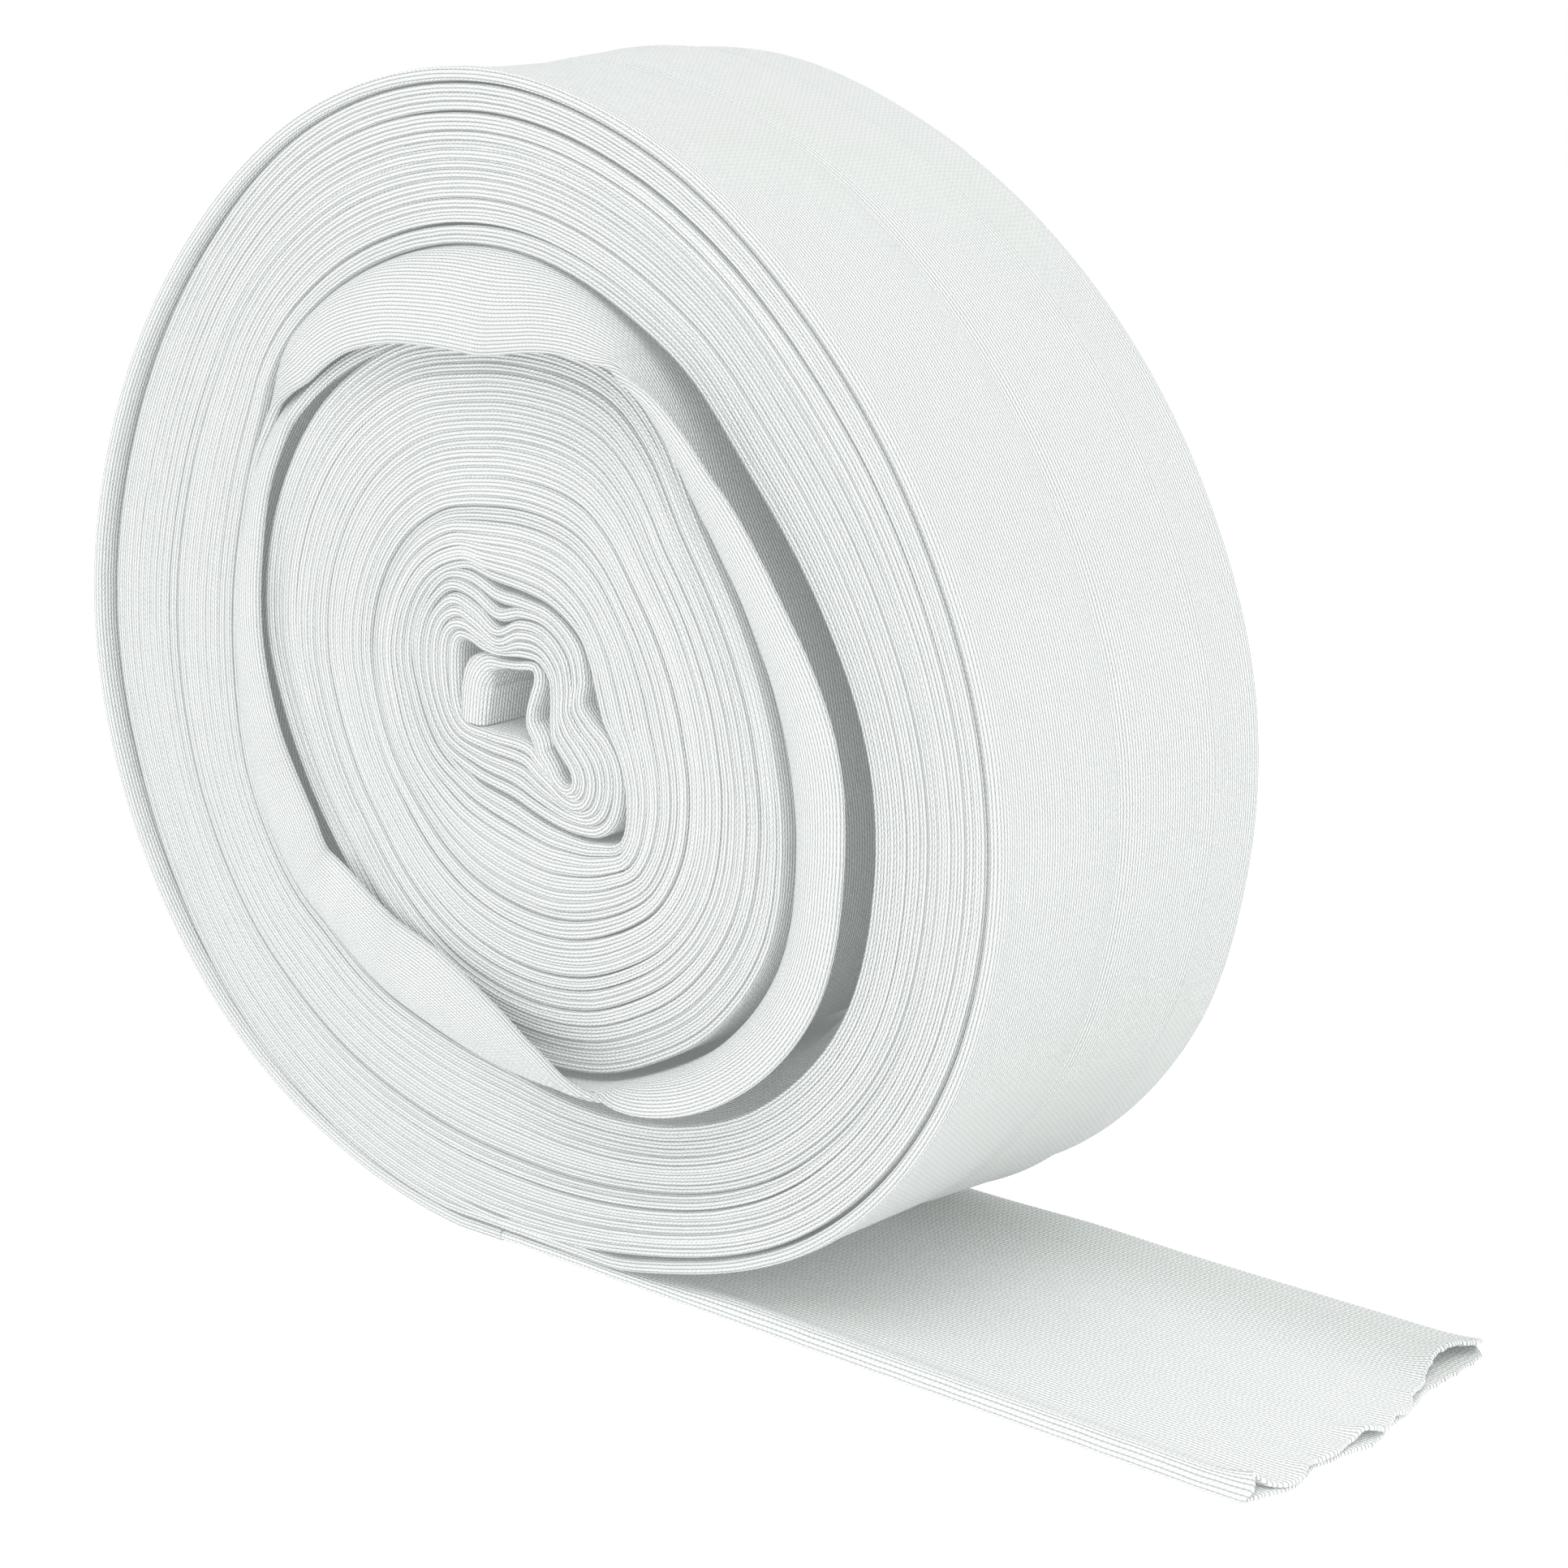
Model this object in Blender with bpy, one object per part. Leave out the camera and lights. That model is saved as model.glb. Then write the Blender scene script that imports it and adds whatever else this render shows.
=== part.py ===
"""A roll of flat-laid tubular knitted cloth (cast stockinette) with its loose end on the table.

The roll stands on its rim. The tube leaves it underneath and lies flat towards +X, ending in a wavy, curling
cut. One turn near the middle of the winding has slipped out of the front face: its free band leans in over
the inner turns on the left and flares outwards on the right, over a deep gap.

Axes: +X along the loose end, +Y away from the viewer, +Z up. The origin is on the table, straight below the
middle of the winding and half-way across the tube's width. Angles run anticlockwise from +X, seen from the
front. Depths count from the front face into the roll, so a negative depth stands proud towards the viewer.
"""
import math
from typing import NamedTuple

import bpy
import bmesh
from mathutils import Vector

MM = 0.001

# Driving dimensions of the tube and its winding.
TUBE_WIDTH = 76.0 * MM
TURN_THICKNESS = 2.2 * MM
WINDING_HEIGHT = 106.3 * MM
FOLD_ROUND = 1.6 * MM
RIM_CREASE = 0.5 * MM
BACK_LIP = 0.6 * MM
SOLID_GAP = 0.3 * MM

# Where the loose end starts under the roll, and how finely the winding is divided.
TAIL_START = 5.0 * MM
SECTIONS = 72

# The slipped turn's free band.
BAND_THICKNESS = 2.4 * MM
BAND_FOLD_DROP = 0.8 * MM
BAND_INNER_GROOVE = 3.2 * MM
BAND_GAP_FLOOR_SHARE = 0.25

# The crushed middle: where the folded bunch and its hollow lie, seen from the front, and how deep it goes.
BUNCH_CENTRE = Vector((7.0 * MM, 106.0 * MM))
HOLLOW_CENTRE = Vector((5.5 * MM, 107.3 * MM))
HOLLOW_DEPTH = 20.0 * MM
HOLLOW_EDGE = 1.6 * MM
BUNCH_GROOVE_DEPTH = 3.0 * MM
BUNCH_GROOVE_WIDTH = 2.6 * MM
BACK_HOLLOW_RADIUS = 6.0 * MM

# The loose end, flat on the table.
TAIL_SPREAD_START = 34.0 * MM
TAIL_SPREAD_LENGTH = 26.0 * MM
TAIL_SECTIONS = 30
CURL_LENGTH = 9.0 * MM

KNIT_WHITE = (0.87, 0.885, 0.88, 1.0)
KNIT_ROUGHNESS = 0.92


class OutlineRow(NamedTuple):
    """Outer turn at one angle: radius, how proud its front fold stands, the gap behind it, and the back's spread."""

    angle: float
    radius: float
    lip: float
    behind: float
    spread: float


class BandRow(NamedTuple):
    """Slipped turn at one angle: root and free edge radius, how proud it stands, and the gap outside it."""

    angle: float
    root: float
    edge: float
    proud: float
    gap_to: float
    gap_depth: float


class BunchRow(NamedTuple):
    """Crushed middle at one angle about its own centre: radius of the folded bunch and of its hollow."""

    angle: float
    bunch: float
    hollow: float


class FaceRow(NamedTuple):
    """One step across a face: its share of the way outwards and its depth."""

    share: float
    depth: float


class AcrossRow(NamedTuple):
    """Loose end's top at one place across its width: height on the flat, cut line and lift at the cut."""

    across: float
    height: float
    cut_at: float
    lift: float


# Angles in degrees, lengths in millimetres.
OUTLINE = [
    OutlineRow(0, 114.5, 0.6, 0.6, 1.6),
    OutlineRow(22, 109.0, 0.6, 0.6, 1.6),
    OutlineRow(45, 106.5, 0.6, 0.6, 1.4),
    OutlineRow(68, 108.5, 0.6, 0.6, 0.6),
    OutlineRow(90, 111.3, 0.8, 0.6, 2.6),
    OutlineRow(112, 111.8, 1.5, 1.0, 4.5),
    OutlineRow(135, 109.8, 2.5, 1.5, 2.0),
    OutlineRow(158, 109.8, 3.0, 2.0, 0.5),
    OutlineRow(180, 111.2, 3.0, 2.0, 0.0),
    OutlineRow(203, 110.0, 3.0, 1.8, 0.0),
    OutlineRow(225, 109.3, 2.0, 1.2, 0.0),
    OutlineRow(248, 107.5, 1.2, 0.8, 0.0),
    OutlineRow(270, 106.9, 0.6, 0.6, 0.0),
    OutlineRow(290, 109.0, 0.6, 0.6, 1.0),
    OutlineRow(312, 116.3, 0.6, 0.6, 3.4),
    OutlineRow(330, 118.6, 0.6, 0.6, 3.2),
    OutlineRow(345, 117.4, 0.6, 0.6, 1.8),
]

SLIPPED_BAND = [
    BandRow(0, 69.5, 85.5, 5.0, 88.5, 16.0),
    BandRow(20, 65.5, 78.0, 5.5, 81.5, 14.0),
    BandRow(37, 65.0, 75.5, 6.5, 78.0, 9.0),
    BandRow(52, 70.0, 75.5, 8.0, 79.0, 4.0),
    BandRow(62, 75.0, 70.5, 8.0, 79.5, 2.0),
    BandRow(81, 78.0, 61.0, 5.0, 82.0, 1.5),
    BandRow(104, 78.0, 61.5, 5.0, 82.0, 1.5),
    BandRow(122, 77.5, 65.0, 5.0, 81.5, 1.5),
    BandRow(140, 76.5, 68.0, 5.0, 80.5, 1.5),
    BandRow(160, 74.0, 60.5, 4.5, 78.0, 1.5),
    BandRow(180, 72.0, 57.0, 4.5, 76.0, 1.5),
    BandRow(200, 70.0, 54.0, 4.5, 74.0, 1.5),
    BandRow(222, 70.0, 53.5, 4.5, 74.0, 1.5),
    BandRow(238, 68.0, 51.5, 4.5, 72.0, 1.5),
    BandRow(253, 66.5, 50.0, 4.5, 70.5, 1.5),
    BandRow(275, 69.5, 57.5, 6.0, 73.5, 2.5),
    BandRow(290, 73.0, 68.0, 8.0, 79.0, 5.0),
    BandRow(302, 75.0, 79.5, 8.0, 85.0, 8.0),
    BandRow(316, 77.0, 87.0, 6.0, 91.0, 12.0),
    BandRow(332, 77.0, 90.5, 5.0, 94.0, 16.0),
    BandRow(348, 73.0, 88.0, 5.0, 91.5, 17.0),
]

BUNCH = [
    BunchRow(4, 19.8, 4.0),
    BunchRow(32, 20.9, 6.2),
    BunchRow(60, 20.0, 6.0),
    BunchRow(87, 19.5, 4.4),
    BunchRow(116, 25.6, 4.0),
    BunchRow(140, 29.0, 4.3),
    BunchRow(167, 28.1, 5.0),
    BunchRow(186, 25.3, 5.4),
    BunchRow(209, 23.1, 5.2),
    BunchRow(234, 19.4, 4.0),
    BunchRow(266, 18.3, 4.0),
    BunchRow(292, 22.7, 5.1),
    BunchRow(310, 29.2, 4.4),
    BunchRow(320, 32.7, 3.9),
    BunchRow(336, 29.1, 3.6),
    BunchRow(352, 22.5, 3.7),
]

INNER_FACE = [
    FaceRow(0.18, 0.6),
    FaceRow(0.32, -0.6),
    FaceRow(0.52, 0.4),
    FaceRow(0.70, -0.3),
    FaceRow(0.86, 1.2),
]

OUTER_FACE = [
    FaceRow(0.10, 0.2),
    FaceRow(0.24, 0.0),
    FaceRow(0.28, 1.0),
    FaceRow(0.34, -0.3),
    FaceRow(0.62, 0.5),
    FaceRow(0.88, 0.0),
]

BACK_FACE = [
    FaceRow(0.06, 0.6),
    FaceRow(0.30, -0.4),
    FaceRow(0.36, 0.7),
    FaceRow(0.62, 0.0),
    FaceRow(0.66, 0.9),
    FaceRow(0.94, 0.0),
]

LOOSE_END = [
    AcrossRow(0.0, 1.5, 164.0, 0.6),
    AcrossRow(1.2, 3.0, 164.0, 0.6),
    AcrossRow(3.5, 3.2, 164.0, 0.3),
    AcrossRow(6.5, 1.9, 165.5, 0.0),
    AcrossRow(11.0, 2.2, 167.2, 1.2),
    AcrossRow(16.0, 2.3, 166.2, 0.2),
    AcrossRow(22.0, 2.3, 167.6, 1.0),
    AcrossRow(28.0, 2.3, 167.2, 0.1),
    AcrossRow(33.0, 2.3, 169.0, 1.6),
    AcrossRow(38.0, 2.3, 168.6, 0.3),
    AcrossRow(43.0, 2.3, 168.2, 1.4),
    AcrossRow(49.0, 2.3, 167.8, 0.3),
    AcrossRow(55.0, 2.3, 166.0, 1.0),
    AcrossRow(62.0, 2.4, 165.6, 3.0),
    AcrossRow(68.0, 2.5, 166.0, 3.4),
    AcrossRow(73.5, 2.5, 165.0, 1.6),
    AcrossRow(76.0, 1.3, 163.5, 0.8),
]


def clear_scene() -> None:
    """Remove every object, so that only the roll is left."""
    for found in list(bpy.data.objects):
        bpy.data.objects.remove(found, do_unlink=True)


def new_collection(name: str) -> bpy.types.Collection:
    """Add a collection to the scene."""
    collection = bpy.data.collections.new(name)
    bpy.context.scene.collection.children.link(collection)
    return collection


def knit_material(name: str) -> bpy.types.Material:
    """White cotton knit: matt, with no metal in it."""
    material = bpy.data.materials.new(name)
    material.use_nodes = True
    shader = material.node_tree.nodes["Principled BSDF"]
    shader.inputs["Base Color"].default_value = KNIT_WHITE
    shader.inputs["Roughness"].default_value = KNIT_ROUGHNESS
    shader.inputs["Metallic"].default_value = 0.0
    return material


def hermite(before: float, after: float, rise: float, fall: float, step: float, share: float) -> float:
    """Cubic between two values with the slope at each end, a share of the way along a step."""
    square, cube = share * share, share * share * share
    return ((2 * cube - 3 * square + 1) * before + (cube - 2 * square + share) * step * rise
            + (3 * square - 2 * cube) * after + (cube - square) * step * fall)


def around(rows: list, column: str, angle: float) -> float:
    """Read a column of a closed table at an angle, smoothly between its rows, in metres."""
    count = len(rows)
    angles = [row.angle for row in rows]
    values = [getattr(row, column) * MM for row in rows]
    angle %= 360.0
    if angle < angles[0]:
        angle += 360.0
    here = max(index for index in range(count) if angles[index] <= angle)

    def point(index: int) -> tuple:
        turns, place = divmod(index, count)
        return angles[place] + 360.0 * turns, values[place]

    def slope(index: int) -> float:
        (angle_a, value_a), (angle_b, value_b) = point(index - 1), point(index + 1)
        return (value_b - value_a) / (angle_b - angle_a)

    (start, before), (end, after) = point(here), point(here + 1)
    share = (angle - start) / (end - start)
    return hermite(before, after, slope(here), slope(here + 1), end - start, share)


def along(rows: list, key: str, column: str, place: float) -> float:
    """Read a column of an open table at a place, straight between its rows, in metres."""
    for before, after in zip(rows, rows[1:]):
        start, end = getattr(before, key) * MM, getattr(after, key) * MM
        if place <= end:
            share = min(max((place - start) / (end - start), 0.0), 1.0)
            return ((1 - share) * getattr(before, column) + share * getattr(after, column)) * MM
    return getattr(rows[-1], column) * MM


def towards(centre: Vector, angle: float, radius: float) -> Vector:
    """Point in the plane of the face, at an angle and radius about a centre."""
    turn = math.radians(angle)
    return centre + Vector((math.cos(turn), math.sin(turn))) * radius


def front_core(angle: float) -> list:
    """Profile of the crushed middle at the front: the hollow, its edge and the groove round the bunch."""
    hollow = around(BUNCH, "hollow", angle)
    bunch = around(BUNCH, "bunch", angle)
    mouth = towards(HOLLOW_CENTRE, angle, hollow)
    rim = towards(BUNCH_CENTRE, angle, bunch)
    shoulder = towards(HOLLOW_CENTRE, angle, hollow + HOLLOW_EDGE)
    return [
        (towards(HOLLOW_CENTRE, angle, 0.6 * hollow), HOLLOW_DEPTH),
        (mouth, 0.3 * HOLLOW_DEPTH),
        (shoulder, 0.0),
        (shoulder.lerp(rim, 0.5), -1.0 * MM),
        (shoulder.lerp(rim, 0.85), 0.6 * MM),
        (rim, BUNCH_GROOVE_DEPTH),
        (towards(BUNCH_CENTRE, angle, bunch + BUNCH_GROOVE_WIDTH), 0.2 * MM),
    ]


def front_inner(angle: float, centre: Vector, start: Vector) -> list:
    """Turns between the crushed middle and the root of the slipped turn."""
    root = towards(centre, angle, around(SLIPPED_BAND, "root", angle))
    return [(start.lerp(root, row.share), row.depth * MM) for row in INNER_FACE]


def front_band(angle: float, centre: Vector) -> list:
    """Free band of the slipped turn, with the groove inside it and the gap outside it."""
    root = around(SLIPPED_BAND, "root", angle)
    edge = around(SLIPPED_BAND, "edge", angle)
    proud = around(SLIPPED_BAND, "proud", angle)
    gap_to = around(SLIPPED_BAND, "gap_to", angle)
    gap_depth = around(SLIPPED_BAND, "gap_depth", angle)
    outer_root = root + BAND_THICKNESS
    gap_floor = outer_root + BAND_GAP_FLOOR_SHARE * (gap_to - outer_root)
    half = 0.5 * BAND_THICKNESS
    return [
        (towards(centre, angle, root), BAND_INNER_GROOVE),
        (towards(centre, angle, edge - half), BAND_FOLD_DROP - proud),
        (towards(centre, angle, edge), -proud),
        (towards(centre, angle, edge + half), BAND_FOLD_DROP - proud),
        (towards(centre, angle, outer_root), gap_depth),
        (towards(centre, angle, gap_floor), gap_depth),
        (towards(centre, angle, gap_to), 0.8 * MM),
    ]


def front_outer(angle: float, centre: Vector) -> list:
    """Turns outside the slipped one, the gap behind the outermost turn, and that turn's front fold."""
    gap_to = around(SLIPPED_BAND, "gap_to", angle)
    radius = around(OUTLINE, "radius", angle)
    lip = around(OUTLINE, "lip", angle)
    behind = around(OUTLINE, "behind", angle)
    inside = radius - TURN_THICKNESS - behind
    start, end = towards(centre, angle, gap_to), towards(centre, angle, inside)
    turns = [(start.lerp(end, row.share), row.depth * MM) for row in OUTER_FACE]
    return turns + [
        (end, 0.8 * MM),
        (towards(centre, angle, inside + 0.5 * behind), 3.0 * behind),
        (towards(centre, angle, radius - TURN_THICKNESS), 0.4 * MM - lip),
        (towards(centre, angle, radius - 0.5 * TURN_THICKNESS), -lip),
        (towards(centre, angle, radius - 0.1 * TURN_THICKNESS), FOLD_ROUND - lip),
    ]


def rim(angle: float, centre: Vector) -> list:
    """Outside of the outermost turn, from front to back, with a faint crease round its middle."""
    radius = around(OUTLINE, "radius", angle)
    spread = around(OUTLINE, "spread", angle)
    return [
        (towards(centre, angle, radius), 0.10 * TUBE_WIDTH),
        (towards(centre, angle, radius + 0.3 * spread - RIM_CREASE), 0.45 * TUBE_WIDTH),
        (towards(centre, angle, radius + 0.9 * spread), 0.75 * TUBE_WIDTH),
        (towards(centre, angle, radius + spread - 0.2 * FOLD_ROUND), TUBE_WIDTH - FOLD_ROUND),
        (towards(centre, angle, radius + spread - FOLD_ROUND), TUBE_WIDTH),
    ]


def back(angle: float, centre: Vector) -> list:
    """Plain back face, with shallow steps between groups of turns and a small hollow in its middle."""
    radius = around(OUTLINE, "radius", angle) - 2.0 * TURN_THICKNESS
    middle = towards(HOLLOW_CENTRE, angle, 2.5 * BACK_HOLLOW_RADIUS)
    outside = towards(centre, angle, radius)
    face = [(outside.lerp(middle, row.share), TUBE_WIDTH - row.depth * MM) for row in BACK_FACE]
    return face + [
        (towards(HOLLOW_CENTRE, angle, BACK_HOLLOW_RADIUS), TUBE_WIDTH - BACK_LIP),
        (towards(HOLLOW_CENTRE, angle, 0.6 * BACK_HOLLOW_RADIUS), TUBE_WIDTH - HOLLOW_DEPTH),
    ]


def winding_section(angle: float) -> list:
    """Whole profile of the roll at one angle, from the front hollow out over the rim to the back hollow."""
    centre = Vector((0.0, WINDING_HEIGHT))
    core = front_core(angle)
    profile = core + front_inner(angle, centre, core[-1][0])
    profile += front_band(angle, centre) + front_outer(angle, centre)
    profile += rim(angle, centre) + back(angle, centre)
    return [Vector((place.x, depth - 0.5 * TUBE_WIDTH, place.y)) for place, depth in profile]


def loft(name: str, sections: list, closed: bool, material: bpy.types.Material,
         collection: bpy.types.Collection) -> bpy.types.Object:
    """Skin a row of like sections into one closed body.

    Closed sections are rings joined one after the other, with a cap at the first and the last. Open sections
    stand around an axis, so the last joins the first and the two ends of all of them are capped.
    """
    mesh = bmesh.new()
    grid = [[mesh.verts.new(point) for point in section] for section in sections]
    count, length = len(grid), len(grid[0])
    for row in range(count - 1 if closed else count):
        here, beyond = grid[row], grid[(row + 1) % count]
        for place in range(length if closed else length - 1):
            onward = (place + 1) % length
            mesh.faces.new((here[place], here[onward], beyond[onward], beyond[place]))
    if closed:
        mesh.faces.new(grid[0])
        mesh.faces.new(grid[-1])
    else:
        mesh.faces.new([row[0] for row in grid])
        mesh.faces.new([row[-1] for row in grid])
    bmesh.ops.recalc_face_normals(mesh, faces=mesh.faces)
    data = bpy.data.meshes.new(name)
    mesh.to_mesh(data)
    mesh.free()
    data.materials.append(material)
    data.shade_smooth()
    data.set_sharp_from_angle(angle=math.radians(50))
    made = bpy.data.objects.new(name, data)
    collection.objects.link(made)
    return made


def cutter_box(name: str, low: tuple, high: tuple, collection: bpy.types.Collection) -> bpy.types.Object:
    """Block between two corners, used only to cut."""
    middle = [0.5 * (a + b) for a, b in zip(low, high)]
    size = [b - a for a, b in zip(low, high)]
    bpy.ops.mesh.primitive_cube_add(size=1.0, location=middle)
    block = bpy.context.active_object
    block.name = name
    block.scale = size
    bpy.ops.object.transform_apply(location=False, rotation=False, scale=True)
    for home in list(block.users_collection):
        home.objects.unlink(block)
    collection.objects.link(block)
    block.hide_render = True
    block.display_type = "WIRE"
    return block


def cut_away(target: bpy.types.Object, cutter: bpy.types.Object) -> None:
    """Take a cutter's space out of a solid."""
    modifier = target.modifiers.new(cutter.name, "BOOLEAN")
    modifier.operation = "DIFFERENCE"
    modifier.solver = "EXACT"
    modifier.object = cutter


def make_roll(material: bpy.types.Material, collection: bpy.types.Collection,
              cutters: bpy.types.Collection) -> bpy.types.Object:
    """Wound form, with its small flat spot on the table and the seat on top of the loose end."""
    step = 360.0 / SECTIONS
    sections = [winding_section(step * index) for index in range(SECTIONS)]
    made = loft("roll", sections, False, material, collection)
    reach = TUBE_WIDTH
    below = -0.2 * reach
    seat = TURN_THICKNESS + SOLID_GAP
    table = cutter_box("table_cut", (-reach, -reach, below), (reach, reach, 0.0), cutters)
    loose = cutter_box("loose_end_cut", (TAIL_START, -reach, 0.5 * below), (reach, reach, seat), cutters)
    cut_away(made, table)
    cut_away(made, loose)
    return made


def loose_section(place: float) -> list:
    """Ring round the flat double layer, a share of the way from under the roll to the cut end."""
    ring = []
    for row in LOOSE_END:
        start = TAIL_START + SOLID_GAP
        along_x = start + place * (row.cut_at * MM - start)
        spread = min(max((along_x - TAIL_SPREAD_START) / TAIL_SPREAD_LENGTH, 0.0), 1.0)
        curl = min(max(1.0 - (row.cut_at * MM - along_x) / CURL_LENGTH, 0.0), 1.0)
        flat = min(row.height * MM, TURN_THICKNESS)
        height = flat + spread * (row.height * MM - flat) + curl * curl * row.lift * MM
        ring.append(Vector((along_x, row.across * MM - 0.5 * TUBE_WIDTH, height)))
    under = [Vector((point.x, point.y, 0.0)) for point in reversed(ring[1:-1])]
    return ring + under


def make_loose_end(material: bpy.types.Material, collection: bpy.types.Collection) -> bpy.types.Object:
    """Flat double layer on the table, with its rolled front fold and its curling cut."""
    shares = [math.sin(0.5 * math.pi * index / (TAIL_SECTIONS - 1)) for index in range(TAIL_SECTIONS)]
    sections = [loose_section(share) for share in shares]
    return loft("loose_end", sections, True, material, collection)


def main() -> None:
    """Build the roll and its loose end."""
    clear_scene()
    collection = new_collection("cast_stockinette")
    cutters = new_collection("cutters")
    make_roll(knit_material("roll_knit"), collection, cutters)
    make_loose_end(knit_material("loose_end_knit"), collection)


if __name__ == "__main__":
    main()
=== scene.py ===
"""A roll of flat-laid tubular stockinette standing on its rim, with its loose end on a pale table.

The tube is wound as it really is: one flat double layer of jersey knit that runs from the crushed middle
outwards, through the turn that has slipped out of the front face, to the outermost turn and on into the
loose end. Every turn is a real fold of cloth, and the stitches are laid along the cloth's own length and
girth.

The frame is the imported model's: metres, +X along the loose end, +Y away from the viewer, +Z up, the table at
zero. Angles run anticlockwise from +X, seen from the front, and the winding is counted in turns from the
middle outwards, a whole number each time it passes the bottom. Depths count from the front face inwards.
"""
from __future__ import annotations

import logging
import math
from dataclasses import dataclass, field
from enum import Enum
from typing import NamedTuple

import bpy
import numpy as np
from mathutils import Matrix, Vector

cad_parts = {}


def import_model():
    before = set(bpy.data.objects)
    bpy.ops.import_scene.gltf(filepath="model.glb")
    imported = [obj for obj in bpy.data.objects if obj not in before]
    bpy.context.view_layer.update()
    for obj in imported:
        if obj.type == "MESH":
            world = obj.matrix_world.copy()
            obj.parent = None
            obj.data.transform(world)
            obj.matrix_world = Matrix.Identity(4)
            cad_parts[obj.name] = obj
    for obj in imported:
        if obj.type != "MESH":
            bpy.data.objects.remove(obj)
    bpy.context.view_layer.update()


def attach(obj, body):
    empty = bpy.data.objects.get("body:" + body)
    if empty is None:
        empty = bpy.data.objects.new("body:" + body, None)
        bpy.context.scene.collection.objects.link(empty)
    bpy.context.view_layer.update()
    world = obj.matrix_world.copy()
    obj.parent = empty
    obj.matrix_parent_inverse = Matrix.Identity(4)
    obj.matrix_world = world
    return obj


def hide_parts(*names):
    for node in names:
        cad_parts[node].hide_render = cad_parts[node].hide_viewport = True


log = logging.getLogger("stockinette")

MM = 0.001
FULL_TURN = 360.0
BOTTOM = 270.0
STITCH_MAP = "stitches"
OPEN_MARK = "openness"
SHARP_FROM = 62.0
SPARE_KNOTS = 3
TINY = 1e-9

# Turns between the points that lengths are measured along, points to a turn for spacing the sections, and
# the least distance between two sections.
MEASURE_STEP = 0.002
TRIAL_STEPS = 400
CLOSEST_SECTIONS = 0.8 * MM


class OutlineRow(NamedTuple):
    """Outermost turn at one angle: radius, how proud its fold stands, gap behind it, spread at the back."""

    angle: float
    radius: float
    lip: float
    behind: float
    spread: float


class BandRow(NamedTuple):
    """Slipped turn at one angle: where the turns inside end, its root and free edge, and the turns outside.

    All are radii, but for how proud the free edge stands.
    """

    angle: float
    inner: float
    root: float
    edge: float
    proud: float
    gap_to: float


class EndRow(NamedTuple):
    """Inner end of the tube at one turn count: where it is and half its thickness."""

    turn: float
    x: float
    z: float
    half: float


class BunchRow(NamedTuple):
    """Crushed middle at one angle about its own centre: its first and last turn, and a dip between them."""

    angle: float
    inner_x: float
    inner_z: float
    outer_x: float
    outer_z: float
    dip: float


class EggRow(NamedTuple):
    """First round turn outside the crushed middle, at one angle about the middle's own centre."""

    angle: float
    radius: float


class AcrossRow(NamedTuple):
    """Loose end at one place across it: thickness, cut lines of the two layers, lift of the upper one."""

    across: float
    height: float
    upper_cut: float
    lower_cut: float
    lift: float


class ShareRow(NamedTuple):
    """Value of a curve at a share of the tube's width."""

    share: float
    value: float


# Angles in degrees, turn counts from the middle, shares of the width, and lengths in millimetres.
OUTLINE = tuple(OutlineRow(*row) for row in (
    (0, 114.5, 0.1, -0.4, 1.6),
    (22, 109.0, 0.1, -0.4, 1.6),
    (45, 106.5, 0.1, -0.4, 1.4),
    (68, 108.5, 0.15, -0.4, 0.6),
    (90, 111.3, 0.3, -0.3, 2.6),
    (112, 111.8, 1.0, 0.0, 4.5),
    (135, 109.8, 2.3, 0.8, 2.0),
    (158, 109.8, 3.0, 1.4, 0.5),
    (180, 111.2, 3.0, 2.0, 0.0),
    (203, 110.0, 3.0, 1.8, 0.0),
    (225, 109.3, 2.0, 1.2, 0.0),
    (248, 107.5, 1.0, 0.6, 0.0),
    (270, 106.9, 0.1, 0.4, 0.0),
    (290, 109.0, 0.2, -0.2, 1.0),
    (312, 116.3, 0.1, -0.4, 3.4),
    (330, 118.6, 0.1, -0.4, 3.2),
    (345, 117.4, 0.1, -0.4, 1.8),
))

SLIPPED_BAND = tuple(BandRow(*row) for row in (
    (0, 68.0, 69.5, 85.5, 5.0, 88.5),
    (20, 64.0, 65.5, 78.0, 5.5, 81.5),
    (37, 63.4, 65.0, 75.5, 6.5, 78.0),
    (52, 68.2, 71.0, 75.5, 8.0, 79.0),
    (62, 70.0, 75.0, 70.5, 8.0, 79.0),
    (81, 67.4, 78.6, 61.8, 5.0, 80.3),
    (95, 66.2, 78.9, 62.0, 5.0, 80.5),
    (108, 66.8, 78.6, 64.4, 4.5, 80.2),
    (118, 66.5, 78.2, 66.2, 3.9, 79.8),
    (129, 66.2, 77.4, 67.0, 2.8, 79.0),
    (137, 65.6, 75.6, 67.2, 2.4, 77.2),
    (143, 65.0, 72.6, 66.2, 2.0, 74.6),
    (152, 64.1, 70.6, 64.4, 2.0, 72.4),
    (162, 63.0, 69.4, 61.8, 2.4, 71.0),
    (177, 60.9, 69.0, 59.4, 2.6, 70.6),
    (188, 58.4, 69.6, 57.6, 2.6, 71.2),
    (200, 56.6, 71.0, 55.6, 2.8, 72.6),
    (212, 55.8, 71.2, 54.6, 2.8, 72.8),
    (221, 55.8, 70.8, 55.4, 2.6, 72.4),
    (229, 57.0, 69.4, 53.4, 2.2, 71.0),
    (242, 60.0, 69.2, 52.2, 2.0, 70.8),
    (256, 63.6, 68.6, 51.4, 2.4, 70.2),
    (272, 67.2, 70.0, 55.8, 4.4, 71.8),
    (284, 70.0, 71.8, 62.6, 7.2, 76.4),
    (293, 72.0, 73.6, 71.0, 8.4, 80.6),
    (303, 73.4, 75.0, 80.0, 8.0, 85.5),
    (316, 75.4, 77.0, 87.0, 6.0, 91.0),
    (332, 75.4, 77.0, 90.5, 5.0, 94.0),
    (348, 71.4, 73.0, 88.0, 5.0, 91.5),
))

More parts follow.
